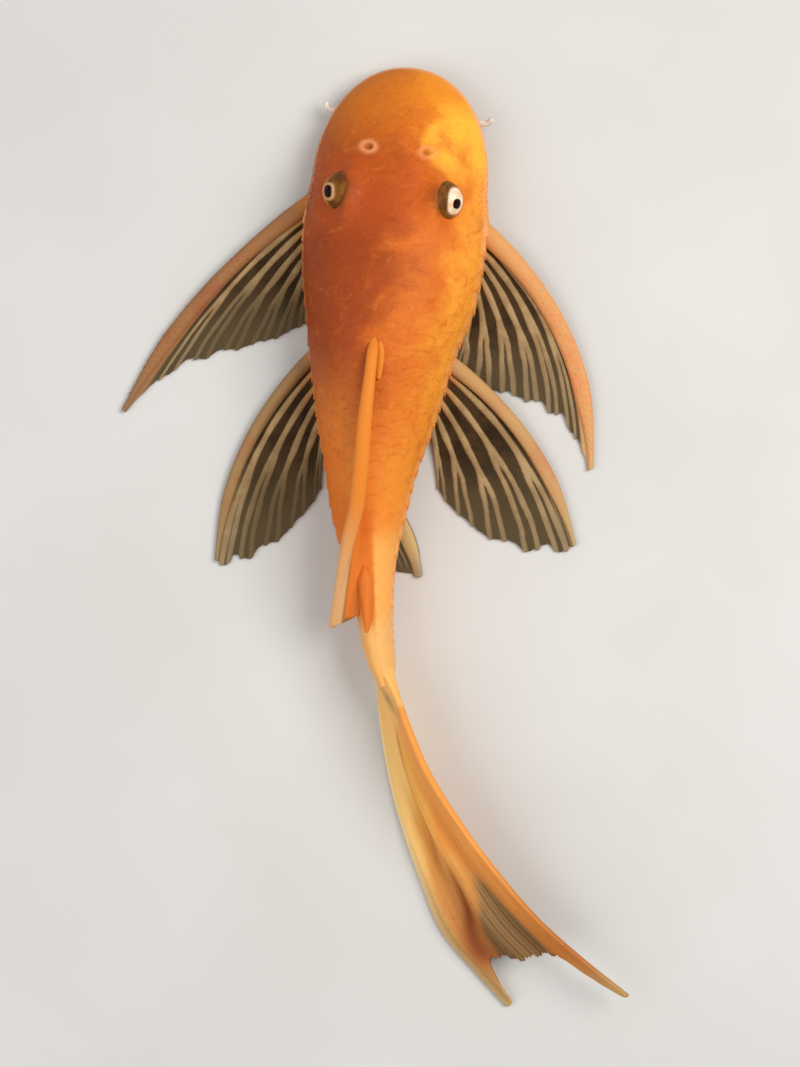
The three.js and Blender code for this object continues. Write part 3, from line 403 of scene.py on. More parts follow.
def grid_faces(rows, columns, wrap=False):
    """Quads of a grid of points in rows, which closes on itself across the columns if wrap is true."""
    r = np.arange(rows - 1)[:, None]
    c = np.arange(columns if wrap else columns - 1)[None, :]
    d = (c + 1) % columns
    quads = [r * columns + c, r * columns + d, (r + 1) * columns + d, (r + 1) * columns + c]
    return np.stack(np.broadcast_arrays(*quads), axis=-1).reshape(-1, 4)


def slab_faces(rows, columns):
    """Quads of a closed slab: a grid, the same grid behind it, and the strips round its edge."""
    front = grid_faces(rows, columns)
    back = front[:, ::-1] + rows * columns
    r, c = np.arange(rows), np.arange(columns)
    loop = np.concatenate([c, r[1:] * columns + columns - 1, (rows - 1) * columns + c[-2::-1],
                           r[-2:0:-1] * columns])
    after = np.roll(loop, -1)
    half = rows * columns
    return np.vstack([front, back, np.stack([loop, loop + half, after + half, after], axis=-1)])


def tube(path, widths, sides, flat=1.0):
    """Points and faces of a tube with rounded ends along path, flat times as high as it is wide."""
    along = unit(np.gradient(path, axis=0))
    across = unit(np.cross(np.broadcast_to((0.0, 0.0, 1.0), along.shape), along))
    over = np.cross(along, across)
    turn = np.linspace(0, 2 * np.pi, sides, endpoint=False)[None, :, None]
    ring = across[:, None] * np.cos(turn) + flat * over[:, None] * np.sin(turn)
    points = path[:, None] + ring * widths[:, None, None] / 2
    caps = [np.arange(sides)[None, ::-1], (len(path) - 1) * sides + np.arange(sides)[None]]
    return points.reshape(-1, 3), [grid_faces(len(path), sides, wrap=True), *caps]


def joined(parts):
    """One list of points and faces from several."""
    points, faces, count = [], [], 0
    for some_points, some_faces in parts:
        points.append(some_points)
        faces += [f + count for f in some_faces]
        count += len(some_points)
    return np.vstack(points), faces


# Materials


def colour(red, green, blue):
    """An sRGB colour of 0 to 255 as the linear values a shader takes."""
    values = []
    for channel in (red, green, blue):
        c = channel / 255
        values.append(c / 12.92 if c <= 0.04045 else ((c + 0.055) / 1.055) ** 2.4)
    return (*values, 1)


def socket_name(key):
    return key.replace("_", " ").title().replace("Ior", "IOR")


class Shader:
    """A node material with one Principled shader, and short names for the nodes that feed it.

    What feeds a node is a number, another node's output, or the name of a mark of the mesh. A colour
    is three sRGB values of 0 to 255, four linear ones, or another node's output."""

    def __init__(self, name, **sockets):
        self.material = bpy.data.materials.new(name)
        self.material.use_nodes = True
        self.tree = self.material.node_tree
        self.surface = self.tree.nodes["Principled BSDF"]
        for key, value in sockets.items():
            self.surface.inputs[socket_name(key)].default_value = value

    def node(self, kind, inputs, output=0, **settings):
        made = self.tree.nodes.new(kind)
        for key, value in settings.items():
            setattr(made, key, value)
        for key, value in inputs.items():
            self.feed(made.inputs[key], value)
        return made.outputs[output]

    def feed(self, socket, value):
        if isinstance(value, str):
            value = self.node("ShaderNodeAttribute", {}, output="Fac", attribute_name=value)
        if isinstance(value, bpy.types.NodeSocket):
            self.tree.links.new(value, socket)
        else:
            socket.default_value = value

    def math(self, operation, a, b):
        return self.node("ShaderNodeMath", {0: a, 1: b}, operation=operation)

    def both(self, *masks):
        """The product of several masks."""
        made = masks[0]
        for mask in masks[1:]:
            made = self.math("MULTIPLY", made, mask)
        return made

    def band(self, value, low, high, to_low=0.0, to_high=1.0):
        """value from low to high mapped smoothly to a range of its own."""
        return self.node(
            "ShaderNodeMapRange",
            {"Value": value, "From Min": low, "From Max": high, "To Min": to_low, "To Max": to_high},
            interpolation_type="SMOOTHSTEP",
        )

    def mix(self, factor, *colours, blend="MIX"):
        """The first of two colours, and the second where factor is 1."""
        linear = [colour(*c) if isinstance(c, tuple) and len(c) == 3 else c for c in colours]
        inputs = dict(zip((0, 6, 7), (factor, *linear)))
        return self.node("ShaderNodeMix", inputs, output=2, data_type="RGBA", blend_type=blend)

    def paint(self, tone, *layers):
        """tone under layers, each with a mask and a colour."""
        for mask, shade in layers:
            tone = self.mix(mask, tone, shade)
        return tone

    def placed(self, *scales):
        """Places on the piece in millimetres, each divided by the scale of its axis."""
        position = self.node("ShaderNodeTexCoord", {}, output="Object")
        return self.node("ShaderNodeMapping", {"Vector": position, "Scale": [1 / (MM * q) for q in scales]})

    def noise(self, scale, detail=3.0, roughness=0.55, distortion=0.0, stretch=1):
        """Noise with features of one over scale, in millimetres, stretched across the body."""
        inputs = {"Vector": self.placed(stretch, 1, 1), "Scale": scale, "Detail": detail,
                  "Roughness": roughness, "Distortion": distortion}
        return self.node("ShaderNodeTexNoise", inputs)

    def cloud(self, scale, low, high, detail=3.0):
        """Noise as a mask, 0 at low and 1 at high."""
        return self.band(self.noise(scale, detail), low, high)

    def fibres(self):
        """Noise drawn out along a fin from its root to its edge."""
        scaled = self.node("ShaderNodeCombineXYZ", {
            "X": self.math("MULTIPLY", "across", 26.0), "Y": self.math("MULTIPLY", "along", 5.0)})
        return self.node("ShaderNodeTexNoise", {"Vector": scaled, "Scale": 1.0, "Detail": 5.0})

    def cells(self, scale):
        return self.node("ShaderNodeTexVoronoi", {"Vector": self.placed(1, 1, 1), "Scale": scale})

    def bump(self, height, distance, **under):
        inputs = {"Height": height, "Distance": distance * MM, "Strength": 1.0, **under}
        return self.node("ShaderNodeBump", inputs)

    def finish(self, tone, **sockets):
        for key, value in {"base_color": tone, **sockets}.items():
            self.feed(self.surface.inputs[socket_name(key)], value)
        return self.material


def body_colour(shader):
    """The orange of the skin: yellower on the right and the snout, redder and darker on the left back. This
    is partly painted light on the right and painted shade on the left.
    """
    wander = shader.math("SUBTRACT", shader.noise(0.14, detail=5.0, distortion=0.8), 0.5)
    across = shader.math("ADD", "lateral", shader.both(wander, shader.band("along", 0.55, 0.75, 1.2, 0.3)))
    # From left to right, dark red to yellow orange: partly the skin's own tone, partly painted shade on the
    # left and painted light on the right
    tone = shader.paint(
        (168, 82, 24),
        (shader.band(across, -0.9, 0.0), (190, 90, 24)),
        (shader.band(across, -0.1, 0.5), (214, 110, 26)),
        (shader.band(across, 0.5, 1.1), (244, 158, 48)),
    )
    for strength, shade, start, end, reach in BODY_WASHES:
        stretch = shader.both(shader.band("along", *start), shader.band("along", *end), strength)
        tone = shader.mix(shader.both(stretch, shader.band(across, *reach)), tone, shade)
    streaks = shader.noise(0.6, detail=6.0, roughness=0.65, distortion=0.8, stretch=1.8)
    marked = shader.both(shader.band("along", 0.85, 0.6, 0.15, 1), shader.band("along", 0.05, 0.22, 0.3, 1))
    dulled = shader.both(shader.band(streaks, 0.52, 0.74, 0, 0.55), marked)
    tone = shader.mix(dulled, tone, (220, 164, 124), blend="MULTIPLY")
    return shader.mix(shader.band(streaks, 0.46, 0.28, 0, 0.2), tone, (252, 156, 54))


def skin_material():
    shader = Shader("skin", roughness=0.55, specular_ior_level=0.2, subsurface_weight=0.1,
                    subsurface_scale=0.001, subsurface_radius=(1.0, 0.35, 0.1))
    rough = shader.band("along", 0.78, 0.5, 0.2, 1)
    specks = shader.noise(1.8, detail=5.0, roughness=0.7, distortion=0.4)
    scratches = shader.noise(1.1, detail=6.0, roughness=0.8, distortion=1.6, stretch=1.6)
    scratched = shader.both(shader.band(scratches, 0.54, 0.64, 0, 0.42), rough,
                            shader.band("lateral", 0.7, 0.1, 0.35, 1))
    clouds = shader.band(shader.noise(0.25, detail=5.0, distortion=0.6), 0.4, 0.65)
    pores = shader.both(shader.band(shader.cells(0.8), 0.5, 0.2, 0, 0.4), shader.band(specks, 0.35, 0.6))
    belly = shader.paint((244, 192, 142), (clouds, (238, 172, 114)), (pores, (224, 144, 92)))
    tone = shader.paint(
        body_colour(shader),
        (shader.both(shader.band(specks, 0.52, 0.72, 0, 0.26), rough), (168, 74, 20)),
        (scratched, (158, 62, 16)),
        ("belly", belly),
        ("groove", (168, 74, 20)),
        # pale: the nostril rims, and the margin along the outline, which is partly painted rim light
        ("pale", (246, 170, 112)),
        # Painted shade round the eyes and in the nostril pits, and the dark patch behind each eye, which is
        # the skin's own colour
        ("shade", (118, 62, 20)),
    )
    grain = shader.bump(shader.both(shader.cells(2.2), rough), 0.05)
    lumps = shader.both(shader.noise(0.9, detail=6.0, stretch=1.8), rough)
    return shader.finish(tone, normal=shader.bump(lumps, 0.2, Normal=grain))


def odontode_material():
    shader = Shader("skin_odontodes", roughness=0.45, specular_ior_level=0.3)
    return shader.finish(shader.mix("tip", body_colour(shader), (236, 168, 104)))


def shaded(spine_colour, *shares):
    """The colour of a fin's spine with each channel times its share."""
    return (*(c * share for c, share in zip(spine_colour, shares)), 1)


def fin_material(name, spine_colour):
    """A paired fin: a peach spine, tan rays, and a dark olive-brown membrane between them. The membrane's
    darkness is partly its own and partly painted: the dark ground seen through the clear skin.
    """
    shader = Shader(name, roughness=0.6, specular_ior_level=0.12)
    cloud = shader.noise(0.35, detail=5.0)
    membrane = shader.paint(
        (44, 27, 8),
        (shader.band(cloud, 0.35, 0.65), (66, 46, 20)),
        (shader.band("along", 0.35, 0.95, 0, 0.85), (86, 72, 48)),
    )
    rays = shader.paint(
        (150, 122, 84),
        (shader.band(cloud, 0.38, 0.68), (174, 146, 104)),
        (shader.band("along", 0.55, 1.0, 0, 0.7), (142, 124, 94)),
        ("fade", (92, 76, 50)),
        (shader.band("along", 0.2, 0.02), (196, 142, 82)),
    )
    middle = shader.both(shader.band("along", 0.2, 0.5), shader.band("along", 0.9, 0.65))
    tip = shaded(spine_colour, 0.85, 1.05, 1.3)
    stem = shader.paint(
        (*spine_colour, 1),
        (shader.both(shader.cloud(0.3, 0.4, 0.64, 4.0), middle), shaded(spine_colour, 1.0, 0.78, 0.88)),
        (shader.both(shader.cloud(0.8, 0.52, 0.66, 5.0), 0.3), tip),
        (shader.band("along", 0.78, 1.0, 0, 0.9), tip),
    )
    joints = shader.node("ShaderNodeTexWave", {
        "Vector": shader.node("ShaderNodeCombineXYZ", {"X": "length"}), "Scale": 0.55, "Distortion": 1.2})
    tone = shader.paint(
        membrane,
        ("ray", rays),
        ("spine", stem),
        (shader.band("along", 0.1, 0.0, 0, 0.7), (216, 132, 52)),
        (shader.both("ray", shader.band(joints, 0.3, 0.0, 0, 0.1)), (110, 80, 44)),
    )
    return shader.finish(tone, normal=shader.bump(shader.noise(2.4, detail=5.0), 0.09))


def fin_teeth_material(spine_colour):
    shader = Shader("fin_odontodes", roughness=0.45, specular_ior_level=0.25)
    return shader.finish(shader.mix("tip", (*spine_colour, 1), shaded(spine_colour, 1.15, 1.3, 1.5)))


def median_shader(name):
    return Shader(name, roughness=0.55, specular_ior_level=0.2, subsurface_weight=0.08,
                  subsurface_scale=0.001)


def median_material(name, tones, groove, clear, pale):
    """A median fin: tones from its front edge to its rear one, under its marks."""
    shader = median_shader(name)
    wander = shader.math("SUBTRACT", shader.noise(0.2), 0.5)
    wander = shader.math("ADD", "across", shader.both(wander, 0.12))
    steps = np.linspace(0, 1, len(tones))
    tone = shader.paint(
        tones[0],
        *((shader.band(wander, *ends), shade) for *ends, shade in zip(steps, steps[1:], tones[1:])),
        (shader.band(shader.fibres(), 0.52, 0.72, 0, 0.25), (206, 120, 38)),
        ("clear", clear),
        ("pale", pale),
        # The colour of painted shade along a fin's folds
        ("groove", groove),
    )
    return shader.finish(tone, normal=shader.bump(shader.noise(2.2, detail=5.0), 0.06))


def tail_material():
    """The tail fin: a pale lower edge, an orange upper one, and its marks between them, with painted light
    and shade: a painted glow in the pale edge, painted shadow along the folds, and the end painted darker.
    """
    shader = median_shader("tail_fin")
    fibre = shader.fibres()
    tone = shader.paint(
        (240, 174, 80),
        (shader.band("along", 0.3, 0.75), (224, 152, 80)),
        ("orange", (236, 152, 68)),
        (shader.band(fibre, 0.5, 0.7, 0, 0.35), (196, 116, 46)),
        # The fin's pale lower edge, partly a painted glow of light through the thin lobe
        ("pale", shader.mix(shader.band("along", 0.05, 0.3), (248, 188, 104), (246, 200, 122))),
        (shader.band("across", 0.05, 0.01, 0, 0.7), (250, 220, 164)),
        (shader.band(fibre, 0.46, 0.3, 0, 0.2), (246, 188, 104)),
        # The groove and the streak are painted shadow along the folds of the fin
        ("groove", (196, 120, 40)),
        ("streak", (150, 72, 14)),
        # Clear skin: partly its own olive, partly painted darkness of the ground seen through it
        ("clear", shader.mix("ray", (128, 104, 64), (178, 140, 88))),
        ("dull", (150, 116, 64)),
    )
    # Darker towards the end of the fin: painted shade, as the light falls off there
    tone = shader.mix(shader.band("along", 0.45, 0.85), tone, (202, 188, 182), blend="MULTIPLY")
    specks = shader.band(shader.noise(1.4, detail=4.0), 0.58, 0.68, 0, 0.3)
    tone = shader.paint(
        tone,
        (shader.both(specks, shader.band("along", 0.55, 0.7)), (140, 80, 26)),
        # The end darker still: painted shade
        (shader.band("along", 0.82, 1.0, 0, 0.7), (186, 156, 100)),
    )
    return shader.finish(tone, normal=shader.bump(fibre, 0.05))


def eye_material():
    """A matt olive iris round a cream ring, and a dark pupil."""
    shader = Shader("eyes", specular_ior_level=0.1)
    cloud = shader.noise(0.7)
    olive = shader.mix(shader.band(cloud, 0.35, 0.65), (96, 56, 18), (128, 80, 28))
    cream = shader.mix(shader.band(cloud, 0.3, 0.7), (222, 184, 140), (250, 232, 206))
    tone = shader.paint(
        (206, 128, 60),
        ("above", olive),
        # Cream on the right eye, brown on the left, where the ring is painted in shade
        (shader.band("ring", 1.14, 0.9), shader.mix("light", (190, 136, 88), cream)),
        (shader.band("pupil", 1.12, 0.94), (36, 4, 2)),
    )
    return shader.finish(tone, roughness=shader.band("ring", 0.5, 1.1, 0.2, 0.45))


def lip_material():
    shader = Shader("lips", roughness=0.4, subsurface_weight=0.2, subsurface_scale=0.0012)
    dots = shader.cells(1.3)
    tone = shader.paint(
        (240, 176, 136),
        (shader.cloud(0.3, 0.35, 0.65), (246, 196, 156)),
        (shader.band(dots, 0.3, 0.65, 0, 0.6), (204, 122, 84)),
    )
    return shader.finish(tone, normal=shader.bump(dots, -0.25))


def bristle_material():
    shader = Shader("bristles", roughness=0.45, subsurface_weight=0.2, subsurface_scale=0.0008)
    tone = shader.mix(shader.cloud(0.8, 0.35, 0.65), (228, 216, 208), (204, 188, 178))
    return shader.finish(tone, normal=shader.bump(shader.noise(3.0), 0.04))


def floor_material():
    shader = Shader("floor", roughness=0.75)
    return shader.finish(shader.mix(shader.cloud(0.02, 0.3, 0.7), (206, 205, 202), (212, 211, 209)))


# The skin of head, trunk and tail stalk


def ring_angles():
    """Angles of a ring's columns, down the right side and up the left, evenly spaced on the flank."""
    dense = np.linspace(90, -90, 3601)
    lateral, z = outline(24.0, dense)
    steps = np.concatenate([[0], np.cumsum(np.hypot(np.diff(lateral), np.diff(z)))])
    keel = np.interp(0, dense[::-1], steps[::-1])
    back = np.linspace(0, keel, BACK_COLUMNS, endpoint=False)
    belly = np.linspace(keel, steps[-1], BELLY_COLUMNS + 1)
    half = np.interp(np.concatenate([back, belly]), steps, dense)
    angles = np.concatenate([half, half[-2:0:-1]])
    sides = np.concatenate([np.ones(len(half)), -np.ones(len(half) - 2)])
    return angles, sides


def ring_stations():
    snout = HEAD_END * (1 - np.cos(np.linspace(0, 0.5, 40)))
    head = np.arange(snout[-1], HEAD_END, HEAD_RING_STEP)
    return np.concatenate([snout[:-1], head, np.arange(HEAD_END, STALK_END, TRUNK_RING_STEP), [STALK_END]])


def head_edge(z):
    """s where the bones of the head end and the plates begin."""
    rise = (z - HEAD_EDGE["low_z"]) / (HEAD_EDGE["high_z"] - HEAD_EDGE["low_z"])
    return lerp(HEAD_EDGE["low_s"], HEAD_EDGE["high_s"], rise)


def plate_relief(s, degrees, z):
    """Height of the plates over the plain skin, and how dark their edges are."""
    row = (90 - degrees) / (90 - PLATES["lowest"]) * PLATES["rows"]
    in_row = row - np.floor(row)
    arch = np.sin(np.pi * in_row)
    scallops = np.abs(np.sin(np.pi * in_row * PLATES["scallops"]))
    bow = PLATES["bow"] * arch + PLATES["scallop_depth"] * scallops
    phase = (s - PLATES["start"] + bow) / PLATES["pitch"] + 0.5 * (np.floor(row) % 2)
    share = phase - np.floor(phase)
    shown = ease(0.5, 3, s - head_edge(z)) * (1 - ease(PLATES["end"] - 2, PLATES["end"], s))
    shown = shown * (1 - ease(PLATES["rows"] - 0.1, PLATES["rows"] + 0.05, row))
    flank = bell(degrees + 4, 16)
    lift = lerp(PLATE_LIFT["back"], PLATE_LIFT["keel"], flank) * lerp(1, 0.4, ease(72, 88, s))
    crest = PLATES["crest"]
    slope = np.where(share < crest, share / crest, (1 - share) / (1 - crest))
    seam = bell(np.minimum(in_row, 1 - in_row), 0.08)
    height = shown * (lift * slope**1.4 * lerp(0.6, 1, arch) - 0.03 * seam)
    edge = shown * (bell(share - 0.96, 0.05) + 0.4 * seam) * lerp(0.16, 0.4, flank)
    edge = edge * lerp(1, 0.35, ease(55, 75, s))
    return height, np.clip(edge, 0, 1)


def eye_axis(side):
    """The middle of an eyeball and the direction it looks in."""
    centre = place(EYE["s"], side * EYE["lateral"], EYE["height"])
    level = place(EYE["s"], side * (EYE["lateral"] + 1), EYE["height"]) - centre
    rise = math.radians(EYE["elevation"])
    return centre, level * math.cos(rise) + np.array([0, 0, math.sin(rise)])


def set_round_eye(points, side):
    """Shapes the skin into an orbit: below the eyeball inside its opening, and a soft lid round it. Also
    gives the painted shade over the upper rim of the opening, darker on the left.
    """
    centre, axis = eye_axis(side)
    offset = points - centre
    axial = offset @ axis
    radial = np.linalg.norm(offset - axial[..., None] * axis, axis=-1)
    distance = np.linalg.norm(offset, axis=-1)
    near = (distance < EYE["radius"] + 2.5) & (axial > 0)
    outside = ease(EYE["opening"] - 0.15, EYE["opening"] + 0.12, radial)
    lid = EYE["radius"] + 0.1 + 0.1 * bell(radial - EYE["opening"] - 0.3, 0.35)
    lidded = ease(EYE["opening"] + 1.5, EYE["opening"] + 0.4, radial)
    held = lerp(distance, np.maximum(distance, lid), lidded)
    target = np.where(near, lerp(EYE["radius"] - 0.4, held, outside), distance)
    above = ease(-0.4, 1.2, offset[..., 2] - 2.0)
    # Painted shade round the opening, darker on the left eye, which faces away from the light
    shade = (0.75 if side > 0 else 0.9) * near * bell(radial - EYE["opening"], 0.55) * above
    return centre + offset * (target / np.maximum(distance, 1e-6))[..., None], shade


def nostril_relief(s, lateral):
    """A low pale rim round a shallow pit: a small round hole at the front, and a flap of skin behind it."""
    across = (np.abs(lateral) - NOSTRIL["lateral"]) / NOSTRIL["across"]
    along = (s - NOSTRIL["s"]) / NOSTRIL["along"]
    wobble = 1 + 0.06 * np.sin(2 * np.arctan2(along, across) + np.sign(lateral))
    reach = np.hypot(across, along) * wobble
    rim = bell(reach - 0.76, 0.34)
    hollow = 1 - ease(0.3, 0.7, reach)
    hole = bell(np.hypot(NOSTRIL["across"] * across + 0.15, along) / NOSTRIL["hole"], 1)
    flap = hollow * bell(along - 0.5 - 0.25 * across**2, 0.2)
    height = NOSTRIL["lift"] * (rim + 0.9 * flap) - 0.06 * hollow - NOSTRIL["depth"] * hole
    return height, np.clip(rim + 0.6 * flap - hole, 0, 1), hole


def fine_lines(s, lateral, degrees):
    """The faint edge of the cheek, the gill slit under the head, and the vent on the belly."""
    bent = 2.2 * ease(10, 55, degrees) - 2.5 * ease(25, -10, degrees)
    cheek = bell(s - CHEEK_EDGE["s"] - bent, 0.35) * ease(-12, -2, degrees) * ease(40, 25, degrees)
    from_gill = np.abs(lateral) - GILL["lateral"]
    gill = bell(s - GILL["s"] - 0.12 * from_gill**2, 0.3)
    gill = gill * ease(-3, -1.5, from_gill) * ease(3.1, 2.1, from_gill) * (degrees < -5)
    vent = bell(np.hypot((s - VENT["s"]) / 1.6, lateral) - VENT["radius"], 0.3) * (degrees < -45)
    height = VENT["lift"] * vent - CHEEK_EDGE["depth"] * cheek - GILL["depth"] * gill
    return height, np.clip(0.25 * cheek + gill + 0.4 * vent, 0, 1)


def surface_normals(points):
    """Outward directions of a ring grid of points."""
    down = np.roll(points, -1, axis=1) - np.roll(points, 1, axis=1)
    return unit(np.cross(np.gradient(points, axis=0), down))


def skin_surface(s, degrees, sides):
    """Points of the finished skin on a ring grid, and the marks that its colour follows."""
    lateral, z = outline(s, degrees)
    height, edge = plate_relief(s, degrees, z)
    plain = place(s, sides * lateral, z)
    normals = surface_normals(plain)
    nostril, rim, hole = (part * (degrees > 0) for part in nostril_relief(s, lateral))
    lines, groove = fine_lines(s, lateral, degrees)
    height = height + brow_lift(s, lateral, degrees) + nostril + lines
    points = plain + normals * height[..., None]
    behind = (s - EYE_PATCH["s"]) / EYE_PATCH["along"]
    patch = bell(np.hypot(behind, (degrees - EYE_PATCH["degrees"]) / EYE_PATCH["across"]), 1)
    # Painted shade in the nostril pits and round the eyes; the dark patch behind each eye rides on the same
    # mark, but it is the skin's own colour
    shade = np.maximum(0.5 * hole, patch * np.where(sides < 0, 0.7, 0.3))
    for side in (-1, 1):
        points, near = set_round_eye(points, side)
        shade = np.maximum(shade, near)
    points[..., 2] = np.maximum(points[..., 2], 0)
    # The pale margin along the outline seen from above is partly the thin pale edge of the flesh and partly
    # painted rim light, where the skin turns edge-on
    margin = ease(0.08, 0.01, inside_outline(s, lateral)) * lerp(0.95, 0.4, ease(24, 32, s))
    marks = {
        "lateral": sides * lateral / np.maximum(section(s)["half_width"], 0.5),
        "along": s / STANDARD_LENGTH,
        "groove": np.clip(edge + groove, 0, 1),
        "pale": np.clip(margin * ease(-14, -6, degrees) + np.where(sides < 0, 0.6, 0.35) * rim, 0, 0.85),
        "shade": np.clip(shade, 0, 1),
        "belly": ease(-8, -30, degrees),
    }
    return points, marks


class Skin:
    """The finished skin on a grid of rings, on which small pieces are set."""

    def __init__(self):
        angles, sides = ring_angles()
        self.stations = ring_stations()
        s, degrees = grid(self.stations, angles)
        self.points, self.marks = skin_surface(s, degrees, np.broadcast_to(sides, s.shape))
        self.normals = surface_normals(self.points)
        self.half = angles[:BACK_COLUMNS + BELLY_COLUMNS + 1]

    def column(self, degrees, side):
        return side * np.interp(-np.asarray(degrees, float), -self.half, np.arange(len(self.half)))

    def read(self, table, s, degrees, side):
        """A value of the grid, such as a place or a mark, at any s and angle."""
        rows, columns = table.shape[:2]
        r = np.clip(np.interp(s, self.stations, np.arange(rows)), 0, rows - 1.001)
        c = self.column(degrees, side)
        i, j = np.floor(r).astype(int), np.floor(c).astype(int)
        f, g = r - i, c - j
        if table.ndim > 2:
            f, g = f[..., None], g[..., None]
        j, k = j % columns, (j + 1) % columns
        return lerp(lerp(table[i, j], table[i, k], g), lerp(table[i + 1, j], table[i + 1, k], g), f)

    def unwrapped(self, s, degrees, side):
        """Where a root lies on the skin laid flat: the rings across, and the body's length upwards."""
        c = self.column(degrees, side) / len(self.half)
        return np.stack([0.5 + 0.48 * c, 0.02 + 0.96 * s / STALK_END], axis=-1)


SKIN_NODES = "head", "trunk", "tail_stalk"


def build_skin(skin):
    rows, columns = skin.points.shape[:2]
    caps = [np.arange(columns)[None, :], ((rows - 1) * columns + np.arange(columns))[None, ::-1]]
    faces = [grid_faces(rows, columns, wrap=True)[:, ::-1], *caps]
    add_piece("skin", SKIN_NODES, skin.points, faces, skin.marks, skin_material())


def thorns(roots, leans, lengths, width, uv, hook):
    """Small curved cones as one mesh, each with a UV patch of its own round the place of its root."""
    leans = unit(leans)
    across = unit(np.cross(leans, [0, 0, 1.0]))
    over = np.cross(across, leans)
    turn = np.linspace(0, 2 * np.pi, THORN_SIDES, endpoint=False)
    ring = across[:, None] * np.cos(turn)[:, None] + over[:, None] * np.sin(turn)[:, None]
    rings = []
    for reach, share in ((-0.12, 1.0), (0.5, 0.7), (1.0, 0.08)):
        middle = roots + leans * (lengths * reach)[:, None] - over * (hook * lengths * reach**2)[:, None]
        rings.append(middle[:, None] + ring * share * width / 2)
    points = np.stack(rings, axis=1).reshape(len(roots), -1, 3)
    patch = np.stack([0.0015 * np.cos(np.tile(turn, 3)), np.repeat([-0.0012, 0.0, 0.0012], THORN_SIDES)],
                     axis=-1)
    first = (np.arange(len(roots)) * 3 * THORN_SIDES)[:, None, None]
    walls = grid_faces(3, THORN_SIDES, wrap=True)[None] + first
    tips = (2 * THORN_SIDES + np.arange(THORN_SIDES))[None, None] + first
    faces = [walls.reshape(-1, 4), tips.reshape(-1, THORN_SIDES)]
    return points, faces, uv[:, None] + patch[None]


def thorn_marks(tips, **marks):
    """How much of the tip's colour each ring of a thorn has, and the marks at its root, for every point."""
    count = len(next(iter(marks.values())))
    made = {key: np.repeat(values, 3 * THORN_SIDES) for key, values in marks.items()}
    return {**made, "tip": np.tile(np.repeat(tips, THORN_SIDES), count)}


def plate_teeth():
    """s, angle, side and length of the teeth along the rear edge of each plate."""
    in_plate = (np.arange(TEETH["per_plate"]) + 0.5) / TEETH["per_plate"]
    rows, plates, places, sides = grid(
        np.arange(PLATES["rows"]), np.arange(PLATES["per_row"]), in_plate, (-1, 1))
    degrees = 90 - (rows + places) * (90 - PLATES["lowest"]) / PLATES["rows"]
    bow = PLATES["bow"] * np.sin(np.pi * places)
    s = PLATES["start"] - bow + PLATES["pitch"] * (plates + 0.93 - 0.5 * (rows % 2))
    _, z = outline(s, degrees)
    kept = (s > head_edge(z) + 1.5) & (s < PLATES["end"] - 1)
    length = lerp(TEETH["back"], TEETH["flank"], bell(degrees + 2, 22)) * lerp(1, 0.5, ease(62, 80, s))
    return s[kept], degrees[kept], sides[kept], length[kept]


def cheek_hooks():
    """s, angle, side and length of the small hooked spines of the cheeks."""
    angles, count = CHEEK_HOOKS["rows"], CHEEK_HOOKS["per_row"]
    rows, steps, sides = flat_grid(np.arange(len(angles)), np.arange(count), (-1, 1))
    degrees = np.array(angles)[rows] + 2.5 * np.sin(3 * steps + rows)
    s = CHEEK_HOOKS["from_s"] + (steps - 0.3 * rows) * CHEEK_HOOKS["pitch"]
    return s, degrees, sides, CHEEK_HOOKS["length"] * (0.4 + 0.6 * steps / count)


def build_teeth(skin):
    """The fine teeth that make the skin rough: along the plates, and hooked ones on the cheeks."""
    material = odontode_material()
    for name, places, width, rise, hook in (
        ("plate_odontodes", plate_teeth(), TEETH["width"], 0.6, 0.0),
        ("cheek_odontodes", cheek_hooks(), CHEEK_HOOKS["width"], 0.9, 0.3),
    ):
        s, degrees, sides, lengths = places
        before, roots, after = (skin.read(skin.points, s + step, degrees, sides) for step in (-0.6, 0, 0.6))
        leans = unit(after - before) + rise * skin.read(skin.normals, s, degrees, sides)
        points, faces, uv = thorns(roots, leans, lengths, width, skin.unwrapped(s, degrees, sides), hook)
        under = {key: skin.read(skin.marks[key], s, degrees, sides) for key in ("lateral", "along")}
        marks = thorn_marks((0.0, 0.2, 0.4), **under)
        add_piece(name, SKIN_NODES, points, faces, marks, material, uv)


# Eyes


def build_eye(side, name, material):
    """A round eyeball with a slightly bulging cornea. ring and pupil are 1 at the edges of each."""
    centre, axis = eye_axis(side)
    forward = side * unit(np.cross([0, 0, 1], axis))
    upward = np.cross(axis, forward) * side
    polar = np.radians(np.linspace(0, 180, 73))[:, None]
    turn = np.radians(np.linspace(0, 360, 96, endpoint=False))[None, :]
    bulge = EYE["radius"] * (1 + 0.025 * bell(polar, 0.6))
    ahead, above = np.sin(polar) * np.cos(turn), np.sin(polar) * np.sin(turn)
    local = ahead[..., None] * forward + above[..., None] * upward
    points = centre + bulge[..., None] * (local + np.cos(polar)[..., None] * axis)
    iris = IRIS[side]
    marks = {"above": ease(-0.5, 0.1, above), "light": np.full_like(above, iris["light"])}
    for key in ("ring", "pupil"):
        (length, width), (at_ahead, at_above) = iris[key], iris[key + "_at"]
        squared = np.abs((ahead - at_ahead) / length) ** 2.4 + np.abs((above - at_above) / width) ** 2.4
        marks[key] = np.where(polar > np.pi / 2, 2.0, squared ** (1 / 2.4))
    faces = grid_faces(*ahead.shape, wrap=True)[:, ::-side]
    add_piece(piece_name(name), [name], points, [faces], marks, material)


# Mouth and bristles


